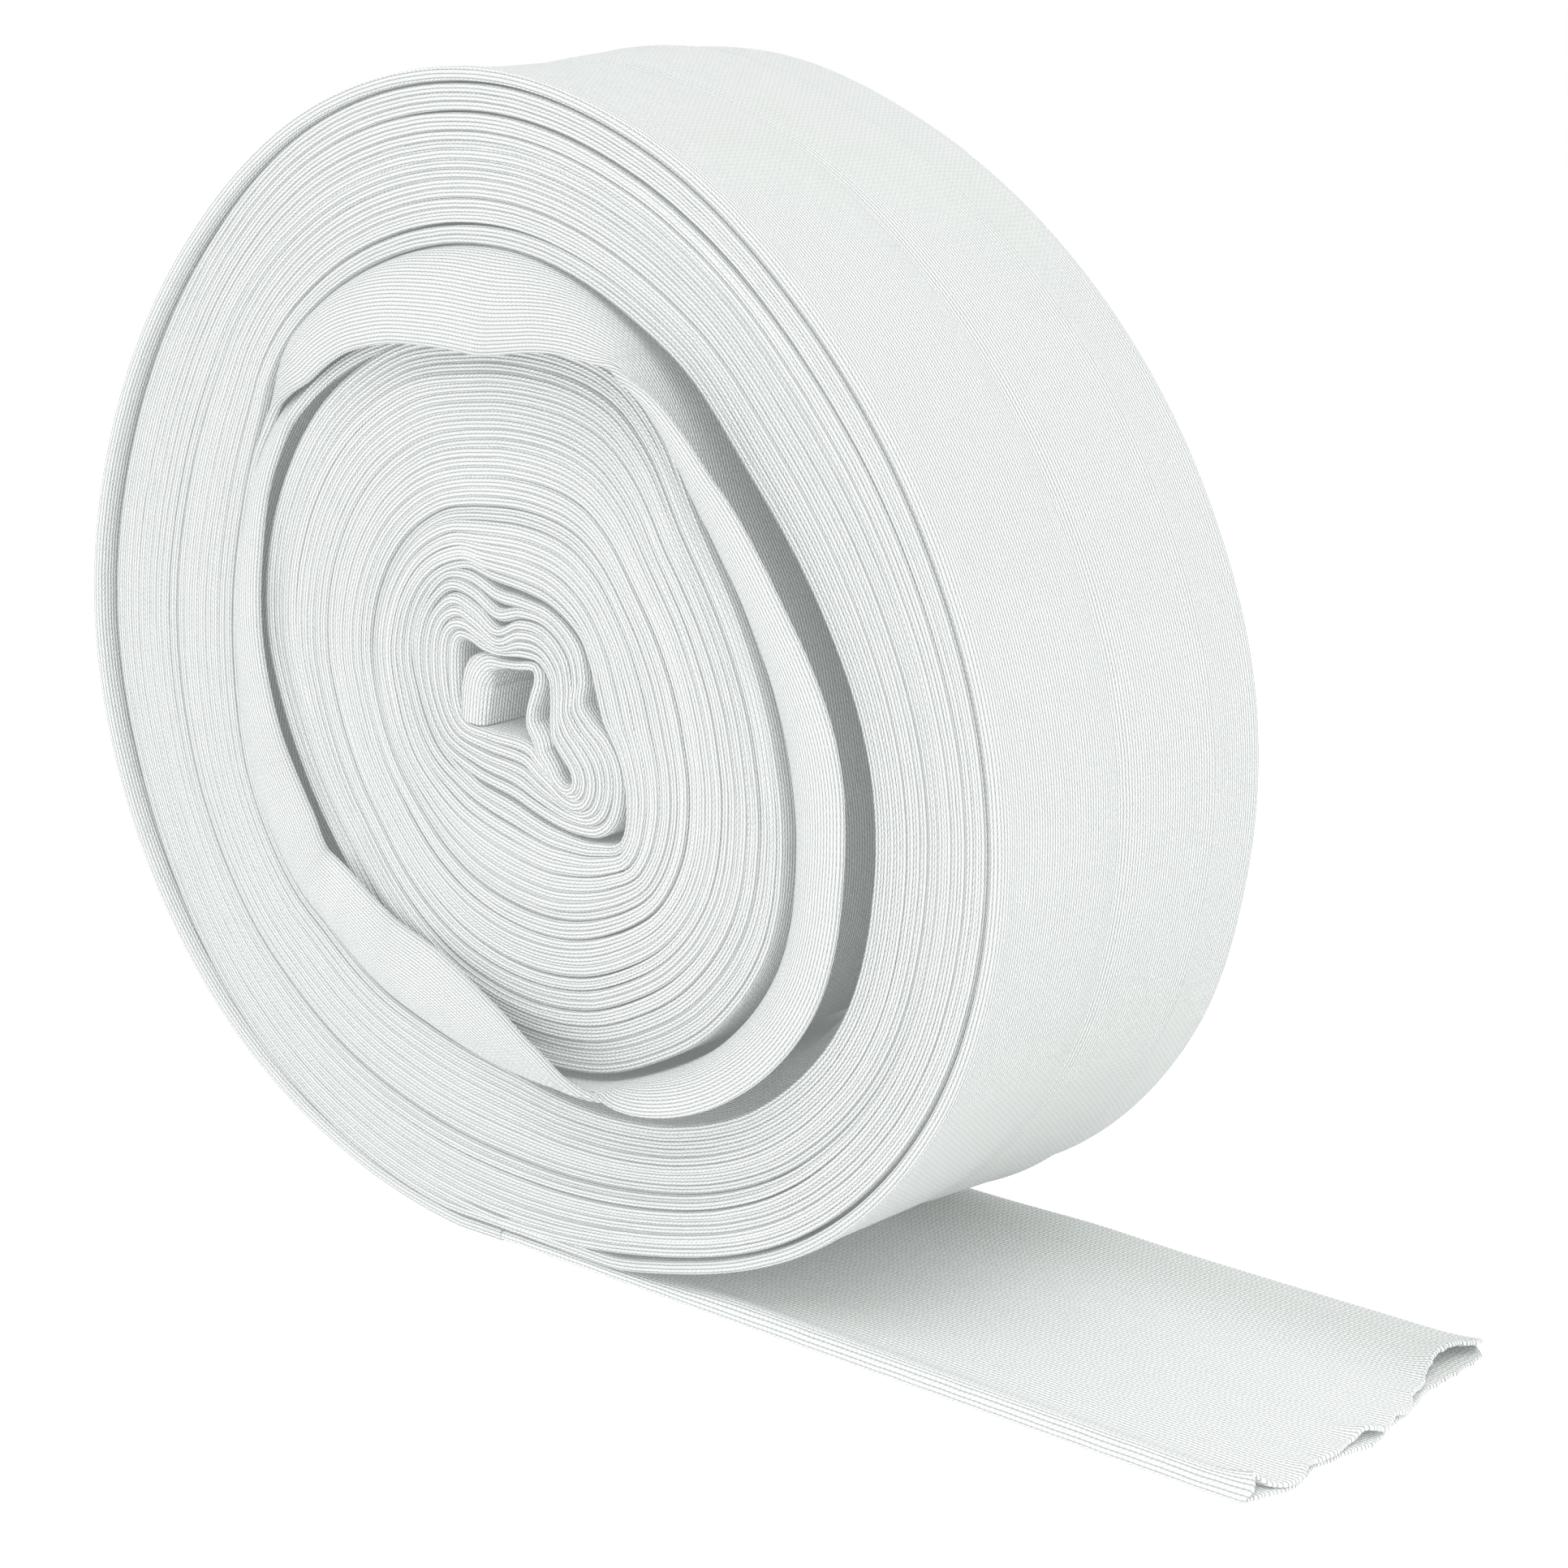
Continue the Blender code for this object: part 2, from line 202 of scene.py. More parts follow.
INNER_END = tuple(EndRow(*row) for row in (
    (-1.10, -4.6, 100.9, 3.2),
    (-1.00, -4.3, 104.2, 3.6),
    (-0.90, -3.8, 107.4, 3.8),
    (-0.80, -2.7, 110.4, 3.6),
    (-0.72, -0.1, 112.6, 2.0),
    (-0.64, 3.6, 112.8, 0.9),
    (-0.52, 7.4, 113.0, 0.75),
    (-0.43, 10.6, 113.4, 0.85),
    (-0.36, 12.5, 113.0, 1.0),
    (-0.30, 12.9, 111.0, 1.1),
    (-0.22, 12.0, 108.3, 1.1),
    (-0.14, 10.9, 105.5, 1.0),
    (-0.08, 10.7, 103.2, 1.3),
    (-0.03, 11.8, 101.2, 2.0),
    (0.02, 13.0, 99.2, 2.1),
    (0.08, 14.8, 96.2, 1.6),
    (0.16, 20.4, 92.2, 1.15),
    (0.28, 16.2, 101.6, 1.3),
    (0.40, 15.6, 112.2, 0.9),
))

BUNCH = tuple(BunchRow(*row) for row in (
    (-94, 10.6, 100.2, 5.6, 87.8, 0.0),
    (-76, 13.0, 97.8, 12.0, 85.8, 0.0),
    (-62, 15.0, 95.5, 18.2, 84.4, 0.0),
    (-53, 16.4, 93.3, 22.8, 84.2, 0.0),
    (-45, 18.2, 92.0, 27.8, 84.8, 0.0),
    (-37, 20.2, 92.0, 31.2, 87.7, 0.0),
    (-27, 21.3, 93.7, 32.8, 93.2, 0.0),
    (-14, 20.4, 96.2, 32.3, 98.6, 0.0),
    (-4, 18.0, 98.7, 29.8, 102.4, 0.0),
    (5, 16.2, 101.0, 26.2, 105.0, 0.0),
    (19, 15.9, 103.9, 23.1, 108.4, 0.0),
    (33, 15.9, 107.6, 23.6, 113.6, 0.0),
    (49, 15.6, 111.3, 21.9, 119.2, 0.0),
    (68, 13.2, 114.3, 15.6, 123.9, 0.0),
    (87, 8.8, 114.7, 8.4, 125.6, 0.6),
    (104, 4.2, 114.3, 1.9, 127.0, 3.2),
    (116, 0.2, 114.4, -4.3, 129.0, 1.4),
    (128, -2.8, 115.6, -10.5, 128.5, 0.0),
    (141, -5.6, 116.4, -15.5, 124.5, 0.0),
    (153, -7.2, 114.8, -19.0, 119.0, 0.0),
    (168, -7.5, 110.2, -20.4, 112.0, 0.0),
    (186, -7.2, 104.6, -18.2, 103.5, 0.0),
    (208, -4.9, 101.2, -13.3, 95.0, 0.0),
    (234, 1.2, 100.6, -4.4, 90.4, 0.0),
))

EGG = tuple(EggRow(*row) for row in (
    (0, 21.7), (15, 20.6), (27, 21.0), (40, 21.6), (62, 21.2),
    (87, 21.2), (104, 22.9), (116, 26.4), (140, 29.4), (167, 28.8),
    (186, 26.2), (209, 24.0), (234, 20.6), (266, 19.4), (292, 24.0),
    (310, 29.9), (320, 33.2), (336, 29.6), (350, 25.0),
))

LOOSE_END = tuple(AcrossRow(*row) for row in (
    (0.0, 2.0, 164.0, 163.4, 0.4),
    (1.6, 3.0, 164.6, 163.6, 0.6),
    (3.8, 3.2, 163.2, 164.2, 1.4),
    (6.6, 1.9, 165.2, 165.4, 0.4),
    (10.5, 2.0, 167.6, 166.8, 0.1),
    (14.5, 2.1, 167.0, 166.2, 0.9),
    (18.5, 2.1, 166.4, 166.0, 0.1),
    (22.5, 2.1, 168.0, 166.8, 0.8),
    (27.0, 2.1, 167.2, 167.6, 0.2),
    (31.0, 2.1, 168.6, 169.4, 1.8),
    (35.0, 2.1, 169.6, 168.6, 0.3),
    (39.5, 2.1, 168.8, 168.0, 0.9),
    (44.0, 2.1, 169.0, 168.0, 0.2),
    (48.5, 2.1, 167.0, 167.4, 0.9),
    (53.0, 2.1, 166.4, 166.6, 0.3),
    (57.5, 2.2, 164.8, 166.4, 1.2),
    (62.0, 2.3, 164.2, 166.8, 2.2),
    (66.5, 2.4, 164.9, 167.2, 2.5),
    (71.0, 2.4, 166.3, 167.0, 1.5),
    (74.0, 2.3, 166.6, 166.6, 1.0),
    (76.0, 1.9, 164.6, 164.6, 0.5),
))

BACK_SPREAD = tuple(ShareRow(*row) for row in (
    (-0.40, 0.0), (-0.10, 0.0), (0.10, 0.0), (0.45, 0.3),
    (0.75, 0.9), (1.00, 1.0), (1.40, 1.0), (1.80, 1.0),
))


class Noise(Enum):
    """Ways in which the cloth lies unevenly: the seed of each and the distance between its knots."""

    GROUP = (11, 2.4)
    TURN = (23, 0.7)
    STRETCH = (37, 0.12)
    RADIAL = (41, 0.45)
    RADIAL_FINE = (53, 0.09)
    THICKNESS = (67, 0.31)
    BACK = (71, 1.9)
    BACK_STRETCH = (73, 0.3)
    RIM_LONG = (79, 0.8)
    RAGGED = (83, 0.9)
    SWELL = (97, 4.0)


@dataclass(frozen=True)
class Tube:
    """The flat tube itself: its width, the thickness of its two layers and how many turns it makes."""

    width: float = 76.0 * MM
    pitch: float = 1.55 * MM
    outer_thickness: float = 2.1 * MM
    wall: float = 0.95 * MM
    height: float = 106.3 * MM
    wales: int = 110
    course: float = 1.075 * MM
    first_turn: float = -1.1
    bunch_turns: float = 5.867
    band_turn: float = 32.639
    turns: float = 52.0

    @property
    def front(self) -> float:
        """Place of the front face along Y."""
        return -0.5 * self.width

    @property
    def outer_start(self) -> float:
        """Turn count at which the outermost turn begins."""
        return self.turns - 1.0

    @property
    def after_band(self) -> float:
        """Turn count at which the turns outside the gap begin."""
        return self.band_turn + 1.0


TUBE = Tube()
CENTRE = np.array([0.0, TUBE.height])
BUNCH_CENTRE = np.array([7.0, 106.0]) * MM


def part_way(place: np.ndarray, start: float, end: float) -> np.ndarray:
    """How far a place is from the start to the end, from 0 to 1."""
    return np.clip((place - start) / (end - start), 0.0, 1.0)


def bump(place: np.ndarray, middle: float, width: float) -> np.ndarray:
    """A smooth rise of 1 at its middle, gone within a few widths."""
    return np.exp(-((place - middle) / width) ** 2)


def ease(place: np.ndarray, start: float, end: float) -> np.ndarray:
    """Go smoothly from 0 at the start to 1 at the end.

    Args:
        place: where to read it.
        start: place of the last 0.
        end: place of the first 1.

    Returns:
        The eased share, of the place's shape.
    """
    share = part_way(place, start, end)
    return share * share * (3.0 - 2.0 * share)


def cubic(knots: np.ndarray, values: np.ndarray, place: np.ndarray) -> np.ndarray:
    """Read a smooth curve through knots, with a spare knot or more beyond each end.

    Args:
        knots: rising places of the knots.
        values: value at each knot.
        place: where to read the curve, of any shape.

    Returns:
        The curve's values, of the place's shape.
    """
    here = np.clip(np.searchsorted(knots, place, side="right") - 1, 1, len(knots) - 3)
    step = knots[here + 1] - knots[here]
    share = (place - knots[here]) / step
    rise = (values[here + 1] - values[here - 1]) / (knots[here + 1] - knots[here - 1])
    fall = (values[here + 2] - values[here]) / (knots[here + 2] - knots[here])
    square, cube = share * share, share * share * share
    return ((2 * cube - 3 * square + 1) * values[here] + (cube - 2 * square + share) * step * rise
            + (3 * square - 2 * cube) * values[here + 1] + (cube - square) * step * fall)


def column(rows: tuple, name: str, unit: float = 1.0) -> np.ndarray:
    """Column of a table as an array, times the unit that it is in."""
    return np.array([getattr(row, name) for row in rows], float) * unit


def around(rows: tuple, name: str, angle: np.ndarray) -> np.ndarray:
    """Read a column of a closed table at any angles.

    Args:
        rows: the table, with an angle in each row.
        name: name of the column, in millimetres.
        angle: angles in degrees.

    Returns:
        The column's values in metres.
    """
    angles, values = column(rows, "angle"), column(rows, name, MM)
    knots = np.concatenate([angles[-SPARE_KNOTS:] - FULL_TURN, angles, angles[:SPARE_KNOTS] + FULL_TURN])
    ring = np.concatenate([values[-SPARE_KNOTS:], values, values[:SPARE_KNOTS]])
    return cubic(knots, ring, np.mod(angle - angles[0], FULL_TURN) + angles[0])


def along(rows: tuple, name: str, place: np.ndarray, unit: float, spare: float) -> np.ndarray:
    """Read a column of an open table at any places, with its end values held beyond its ends.

    Args:
        rows: the table, with its places in the first column.
        name: name of the column, in millimetres.
        place: where to read it.
        unit: the unit that the table's places are in.
        spare: distance from each end to a further knot with the same value.

    Returns:
        The column's values in metres.
    """
    places, values = column(rows, rows[0]._fields[0], unit), column(rows, name, MM)
    knots = np.concatenate([[places[0] - spare], places, [places[-1] + spare]])
    line = np.concatenate([values[:1], values, values[-1:]])
    return cubic(knots, line, np.clip(place, places[0], places[-1]))


def wander(place: np.ndarray, kind: Noise) -> np.ndarray:
    """Smooth seeded noise between about -1 and 1.

    Args:
        place: where to read it, from 0 up.
        kind: which of the noises it is.

    Returns:
        The noise, of the place's shape.
    """
    seed, step = kind.value
    before, spare = 2.0, 8
    count = int(np.max(place) / step) + spare
    values = np.random.default_rng(seed).uniform(-1.0, 1.0, count)
    knots = (np.arange(count) - before) * step
    return cubic(knots, values, np.asarray(place, float))


def polar(centre: np.ndarray, angle: np.ndarray, radius: np.ndarray) -> np.ndarray:
    """Points in the plane of the face, at angles and radii about a centre."""
    turn = np.radians(angle)
    return centre + np.stack([np.cos(turn), np.sin(turn)], -1) * radius[..., None]


@dataclass(frozen=True)
class Winding:
    """Where the middle of the flat tube runs, turn by turn, and how its folds stand.

    Places along the winding are in turns, and those of the slip, from root_from to piece_from, in ramps.
    """

    tube: Tube = TUBE
    # Where one stretch of the winding passes into the next.
    ramp: float = 0.06
    root_from: float = 1.5
    slip_from: float = 1.2
    slip_at: float = 0.7
    slip_ends: float = 0.6
    piece_from: float = 1.25
    rim_ramp: float = 0.1
    dip_late: float = 1.25
    # Turn counts, or turns before the end, at which the flap, the inner end, the loose middle and the last
    # turns come to lie as they do.
    end_read_to: float = 0.3
    end_gone_at: float = 0.4
    flap_to: float = -0.8
    flap_gone_at: float = -0.66
    free_from: float = 1.0
    free_at: float = 3.0
    free_to: float = 0.5
    lies_from: float = 0.5
    lies_at: float = 0.3
    pressed_within: float = 3.0
    level_from: float = 4.0
    level_share: float = 0.7
    # How unevenly the turns lie, in depth and in radius.
    group_depth: float = 0.5 * MM
    swell_depth: float = 0.25 * MM
    swell_round: float = 3.0
    turn_depth: float = 0.2 * MM
    stretch_depth: float = 0.12 * MM
    back_depth: float = 0.5 * MM
    radial_wander: float = 0.32 * MM
    radial_fine: float = 0.10 * MM
    # The gap beside the slipped turn, which closes towards the back, and the slack under the outermost turn.
    gap_closes_from: float = 4.0 * MM
    gap_closes_at: float = 30.0 * MM
    neighbour: float = 1.1
    slack_at: float = 30.0
    # The round turns' start outside the crushed middle, and the flat under the roll.
    egg_round: float = 25.8 * MM
    egg_stretch: float = 4.2 * MM
    egg_tilt: float = 318.0
    seat: float = 2.3 * MM
    seat_round: float = 0.5 * MM
    # Half a turn's thickness, as a share of its room, and how far its folds stand out as a share of that.
    thinnest: float = 0.42 * MM
    thickest: float = 1.2 * MM
    filled: float = 0.56
    filled_varies: float = 0.07
    fold_bunch: float = 0.95
    fold_wound: float = 0.24
    fold_flap: float = 0.4
    fold_rim: float = 0.42

    @property
    def slip_start(self) -> float:
        """Turn count at which the slipped turn's piece begins."""
        return self.tube.band_turn - self.piece_from * self.ramp

    @property
    def slip_end(self) -> float:
        """Turn count at which the slipped turn's piece ends."""
        return self.tube.after_band + self.ramp

    def angle(self, turn: np.ndarray) -> np.ndarray:
        """Angle about the middle at a turn count."""
        return np.mod(BOTTOM + FULL_TURN * turn, FULL_TURN)

    def end_value(self, name: str, turn: np.ndarray) -> np.ndarray:
        """Read a column of the inner end's table, in metres."""
        return along(INNER_END, name, turn, 1.0, 0.1)

    def on_root(self, turn: np.ndarray) -> np.ndarray:
        """How far the path has come onto the slipped turn's root: 0 well before it, 1 from there on."""
        start, ramp = self.tube.band_turn, self.ramp
        return ease(turn, start - self.root_from * ramp, start + self.slip_ends * ramp)

    def on_rim(self, turn: np.ndarray) -> np.ndarray:
        """How far the turn is the outermost one: 0 well before it, 1 on it."""
        start = self.tube.outer_start
        return ease(turn, start - self.rim_ramp, start + self.rim_ramp)

    def band_share(self, turn: np.ndarray) -> np.ndarray:
        """How far the turn has slipped: 1 on the slipped turn, 0 well before and after it.

        Args:
            turn: turn counts.

        Returns:
            The share, by turn.
        """
        start, end, settling = self.tube.band_turn, self.tube.after_band, self.slip_ends * self.ramp
        coming = ease(turn, start - self.slip_from * self.ramp, start + self.slip_at * self.ramp)
        return coming * (1.0 - ease(turn, end - settling, end + settling))

    def bunch_path(self, turn: np.ndarray) -> np.ndarray:
        """Path of the crushed turns in the middle, and of the inner end before them.

        Args:
            turn: turn counts.

        Returns:
            Points in the plane of the face, in metres.
        """
        angle = self.angle(turn)
        read = {name: around(BUNCH, name, angle) for name in BunchRow._fields[1:]}
        share = np.clip(turn / self.tube.bunch_turns, 0.0, 1.0)
        x = read["inner_x"] + (read["outer_x"] - read["inner_x"]) * share
        z = read["inner_z"] + (read["outer_z"] - read["inner_z"]) * share
        dipping = np.sin(np.pi * share ** self.dip_late)
        wound = np.stack([x, z - read["dip"] * dipping], -1)
        end = np.stack([self.end_value("x", turn), self.end_value("z", turn)], -1)
        return end + (wound - end) * ease(turn, 0.0, self.ramp)[:, None]

    def inner_path(self, turn: np.ndarray, angle: np.ndarray) -> np.ndarray:
        """Path of the round turns between the crushed middle and the slipped turn.

        Args:
            turn: turn counts.
            angle: angle at each of them.

        Returns:
            Points in the plane of the face.
        """
        share = part_way(turn, self.tube.bunch_turns, self.tube.band_turn)
        plain = self.egg_round + self.egg_stretch * np.cos(np.radians(angle - self.egg_tilt))
        start = polar(BUNCH_CENTRE, angle, plain)
        path = start + (polar(CENTRE, angle, around(SLIPPED_BAND, "inner", angle)) - start) * share[:, None]
        egg = polar(BUNCH_CENTRE, angle, around(EGG, "radius", angle))
        return path + (egg - start) * ((1.0 - share) ** 3)[:, None]

    def root_path(self, turn: np.ndarray, angle: np.ndarray) -> np.ndarray:
        """Path of the slipped turn's root, which climbs by a turn's thickness as any turn does."""
        climb = self.tube.pitch * (turn - self.tube.band_turn)
        return polar(CENTRE, angle, around(SLIPPED_BAND, "root", angle) + climb)

    def outer_path(self, turn: np.ndarray, angle: np.ndarray) -> np.ndarray:
        """Path of the turns outside the gap, up to the one under the outermost.

        Args:
            turn: turn counts.
            angle: angle at each of them.

        Returns:
            Points in the plane of the face.
        """
        tube = self.tube
        share = part_way(turn, tube.after_band, tube.outer_start)
        slack = 0.5 * tube.pitch * (1.0 + np.cos(np.radians(angle - BOTTOM - self.slack_at)))
        behind = around(OUTLINE, "behind", angle)
        behind = np.maximum(behind - slack, np.minimum(behind, 0.0))
        start = around(SLIPPED_BAND, "gap_to", angle)
        end = around(OUTLINE, "radius", angle) - behind - tube.outer_thickness - 0.5 * tube.pitch
        return polar(CENTRE, angle, start + (end - start) * share)

    def rim_path(self, angle: np.ndarray) -> np.ndarray:
        """Path of the outermost turn."""
        return polar(CENTRE, angle, around(OUTLINE, "radius", angle) - 0.5 * self.tube.outer_thickness)

    def path(self, turn: np.ndarray) -> np.ndarray:
        """Path of the whole winding in the plane of the face.

        Args:
            turn: turn counts, rising.

        Returns:
            Points in metres, one row for each turn count.
        """
        tube, angle, ramp = self.tube, self.angle(turn), self.ramp
        path = self.bunch_path(turn)
        stages = (
            (self.inner_path(turn, angle), ease(turn, tube.bunch_turns - ramp, tube.bunch_turns + ramp)),
            (self.root_path(turn, angle), self.on_root(turn)),
            (self.outer_path(turn, angle), ease(turn, tube.after_band - ramp, tube.after_band + ramp)),
            (self.rim_path(angle), ease(turn, tube.outer_start - 0.5 * ramp, tube.outer_start + 0.5 * ramp)),
        )
        for stage, share in stages:
            path = path + (stage - path) * share[:, None]
        return self.seated(turn, path + self.unevenness(turn, path))

    def unevenness(self, turn: np.ndarray, path: np.ndarray) -> np.ndarray:
        """Small shifts in and out, so that the turns lie unevenly against each other.

        Args:
            turn: turn counts.
            path: the even path.

        Returns:
            What to add to the path.
        """
        tube = self.tube
        out = path - CENTRE
        out /= np.maximum(np.linalg.norm(out, axis=1), MM)[:, None]
        wound = turn - tube.first_turn
        size = (self.radial_wander * wander(wound, Noise.RADIAL)
                + self.radial_fine * wander(wound, Noise.RADIAL_FINE))
        free = ease(turn, self.free_from, self.free_at)
        free = free * (1.0 - ease(turn, tube.outer_start - self.free_to, tube.outer_start))
        return out * (size * free)[:, None]

    def seated(self, turn: np.ndarray, path: np.ndarray) -> np.ndarray:
        """Flatten the turns where they rest on the table and on the loose end.

        Args:
            turn: turn counts.
            path: the path before the roll is set down.

        Returns:
            The path, kept clear of the table and of the loose end under it.
        """
        tube = self.tube
        half = 0.5 * tube.outer_thickness
        lying = ease(turn, tube.turns - self.lies_from, tube.turns - self.lies_at)
        floor = half + self.seat * (1.0 - lying)
        above = path[:, 1] - floor
        lifted = 0.5 * (above + np.sqrt(above * above + self.seat_round ** 2))
        lifted = np.where(turn > tube.turns - self.lies_at, np.maximum(above, 0.0), lifted)
        return np.stack([path[:, 0], floor + lifted], -1)

    def half_thickness(self, turn: np.ndarray) -> np.ndarray:
        """Half the thickness of the two layers, which fill most of the room between their neighbours.

        The last turns have only the one within them to go by, and the first only the one beyond.

        Args:
            turn: turn counts.

        Returns:
            Half thicknesses in metres.
        """
        tube = self.tube
        here = self.path(turn)
        beyond = np.linalg.norm(self.path(np.minimum(turn + 1.0, tube.turns)) - here, axis=1)
        within = np.linalg.norm(here - self.path(np.maximum(turn - 1.0, tube.first_turn)), axis=1)
        beyond = np.where(turn > tube.turns - 2.0, within, beyond)
        within = np.where(turn < 1.0, beyond, within)
        room = np.minimum(beyond, within)
        uneven = 1.0 + self.filled_varies * wander(turn - tube.first_turn, Noise.THICKNESS)
        half = np.clip(self.filled * room * uneven, self.thinnest, self.thickest)
        at_end = 1.0 - ease(turn, self.end_read_to, self.end_gone_at)
        half = half + (self.end_value("half", turn) - half) * at_end
        return half + (0.5 * tube.outer_thickness - half) * self.on_rim(turn)

    def front_depth(self, turn: np.ndarray) -> np.ndarray:
        """Depth of the front fold behind the face, negative where it stands proud.

        Args:
            turn: turn counts.

        Returns:
            Depths in metres.
        """
        start, angle, outermost = self.tube.outer_start, self.angle(turn), self.on_rim(turn)
        wound = turn - self.tube.first_turn
        group = self.group_depth * wander(wound, Noise.GROUP)
        single = self.turn_depth * wander(wound, Noise.TURN)
        stretch = self.stretch_depth * wander(wound, Noise.STRETCH)
        swell = np.sin(np.radians(angle) + self.swell_round * wander(wound, Noise.SWELL))
        group = group + self.swell_depth * swell
        lip = -around(OUTLINE, "lip", angle)
        level = 1.0 - self.level_share * ease(turn, start - self.level_from, start - 1.0)
        return (group + single + stretch) * level * (1.0 - outermost) + lip * outermost

    def back_end(self, turn: np.ndarray) -> np.ndarray:
        """Depth of the back fold.

        Args:
            turn: turn counts.

        Returns:
            Depths in metres.
        """
        wound = turn - self.tube.first_turn
        uneven = (self.back_depth * wander(wound, Noise.BACK)
                  + 0.5 * self.back_depth * wander(wound, Noise.BACK_STRETCH) - self.back_depth)
        return self.tube.width + uneven * (1.0 - self.on_rim(turn))

    def fold_reach(self, turn: np.ndarray) -> np.ndarray:
        """How far the folds stand out: roundly in the loose middle, flatter where the turns press together.

        Args:
            turn: turn counts.

        Returns:
            How far, as a share of half the thickness.
        """
        loose = self.tube.bunch_turns
        pressed = ease(turn, 0.5 * loose, loose + self.pressed_within)
        pressed = pressed * (1.0 - self.on_rim(turn))
        pressed = pressed * (1.0 - self.band_share(turn))
        reach = self.fold_bunch + (self.fold_wound - self.fold_bunch) * pressed
        reach = reach + (self.fold_rim - reach) * self.on_rim(turn)
        return reach + (self.fold_flap - reach) * (1.0 - ease(turn, self.flap_to, self.flap_gone_at))

    def plain_section(self, turn: np.ndarray, levels: np.ndarray) -> np.ndarray:
        """Middle line of the flat tube across its width, where it stands straight in the winding.

        Behind the face the turns close the gap that the slipped turn leaves.

        Args:
            turn: turn counts.
            levels: places across the width, from the front fold, as shares.

        Returns:
            Places outwards and inwards from the face, by turn and level.
        """
        tube, angle = self.tube, self.angle(turn)
        front, back = self.front_depth(turn)[:, None], self.back_end(turn)[:, None]
        deep = front + (back - front) * levels[None, :]
        gap_to, root, inner = (around(SLIPPED_BAND, name, angle) for name in ("gap_to", "root", "inner"))
        gap = gap_to - root - 2.0 * self.neighbour * tube.pitch
        left = 1.0 - part_way(turn, tube.after_band, tube.outer_start - 1.0)
        closing = np.maximum(gap, 0.0) * left * ease(turn, tube.after_band - self.ramp, tube.after_band)
        void = root - inner - self.neighbour * tube.pitch
        wound = part_way(turn, tube.bunch_turns, tube.band_turn)
        wound = wound * (1.0 - self.on_root(turn))
        closing = closing - np.maximum(void, 0.0) * wound
        spread = around(OUTLINE, "spread", angle) * ease(turn, tube.after_band, tube.outer_start)
        opened = cubic(column(BACK_SPREAD, "share"), column(BACK_SPREAD, "value"), deep / tube.width)
        closed = ease(deep, self.gap_closes_from, self.gap_closes_at)
        return np.stack([spread[:, None] * opened - closing[:, None] * closed, deep], -1)


WINDING = Winding()


@dataclass
class Strip:
    """A stretch of the flat tube: a ring of points round it for each place along its length."""

    rings: np.ndarray
    length: np.ndarray
    girth: np.ndarray
    openness: np.ndarray | None = None


def rounded_ring(line: np.ndarray, half: np.ndarray, reach: np.ndarray, steps: int = 5,
                 blunt: float = 0.8) -> np.ndarray:
    """Go round a flat section whose middle line is given: front fold, outer side, back fold, inner side.

    Args:
        line: middle line, places outwards and along Y, by section and level.
        half: half the thickness, by section and level.
        reach: how far each section's folds stand out, as a share of half the thickness.
        steps: points on each fold.
        blunt: power that makes the folds blunter than a half circle.

    Returns:
        The ring's points, places outwards and along Y, by section and point.
    """
    onward = np.gradient(line, axis=1)
    onward /= np.maximum(np.linalg.norm(onward, axis=2, keepdims=True), TINY)
    aside = np.stack([onward[..., 1], -onward[..., 0]], -1)
    outer, inner = line + aside * half[..., None], line - aside * half[..., None]
    sweep = np.radians(np.linspace(-90.0, 90.0, steps))

    def fold(level: int, sign: float, turns: np.ndarray) -> np.ndarray:
        """Points of the fold at one end of the middle line.

        Args:
            level: the end's place in the line.
            sign: 1 where the line runs out into the fold, -1 where it starts there.
            turns: angles to go through.

        Returns:
            The points, by section and angle.
        """
        size = half[:, level, None, None]
        forward, side = onward[:, level, None, :] * sign, aside[:, level, None, :]
        standing = reach[:, None, None] * (np.cos(turns) ** blunt)[None, :, None] - reach[:, None, None]
        return line[:, level, None, :] + (forward * standing + side * np.sin(turns)[None, :, None]) * size

    front, back = fold(0, -1.0, sweep), fold(-1, 1.0, sweep[::-1])
    return np.concatenate([front, outer[:, 1:-1], back, inner[:, -2:0:-1]], axis=1)


def girth_of(ring: np.ndarray, tip: int) -> np.ndarray:
    """Wale count round each ring, with the middle of a wale on the front fold's tip.

    Args:
        ring: points round each section.
        tip: the point on the front fold's tip.

    Returns:
        Wale counts by section and point, with the first point again at the end.
    """
    closed = np.concatenate([ring, ring[:, :1]], axis=1)
    steps = np.linalg.norm(np.diff(closed, axis=1), axis=2)
    gone = np.concatenate([np.zeros((len(ring), 1)), np.cumsum(steps, axis=1)], axis=1)
    return (gone - gone[:, tip:tip + 1]) / gone[:, -1:] * TUBE.wales + 0.5


def length_at(turn: np.ndarray) -> np.ndarray:
    """Length of tube from the inner end to each turn count.

    Args:
        turn: turn counts.

    Returns:
        Lengths in metres.
    """
    fine = np.arange(TUBE.first_turn, TUBE.turns + 0.5 * MEASURE_STEP, MEASURE_STEP)
    steps = np.linalg.norm(np.diff(WINDING.path(fine), axis=0), axis=1)
    return np.interp(turn, fine, np.concatenate([[0.0], np.cumsum(steps)]))


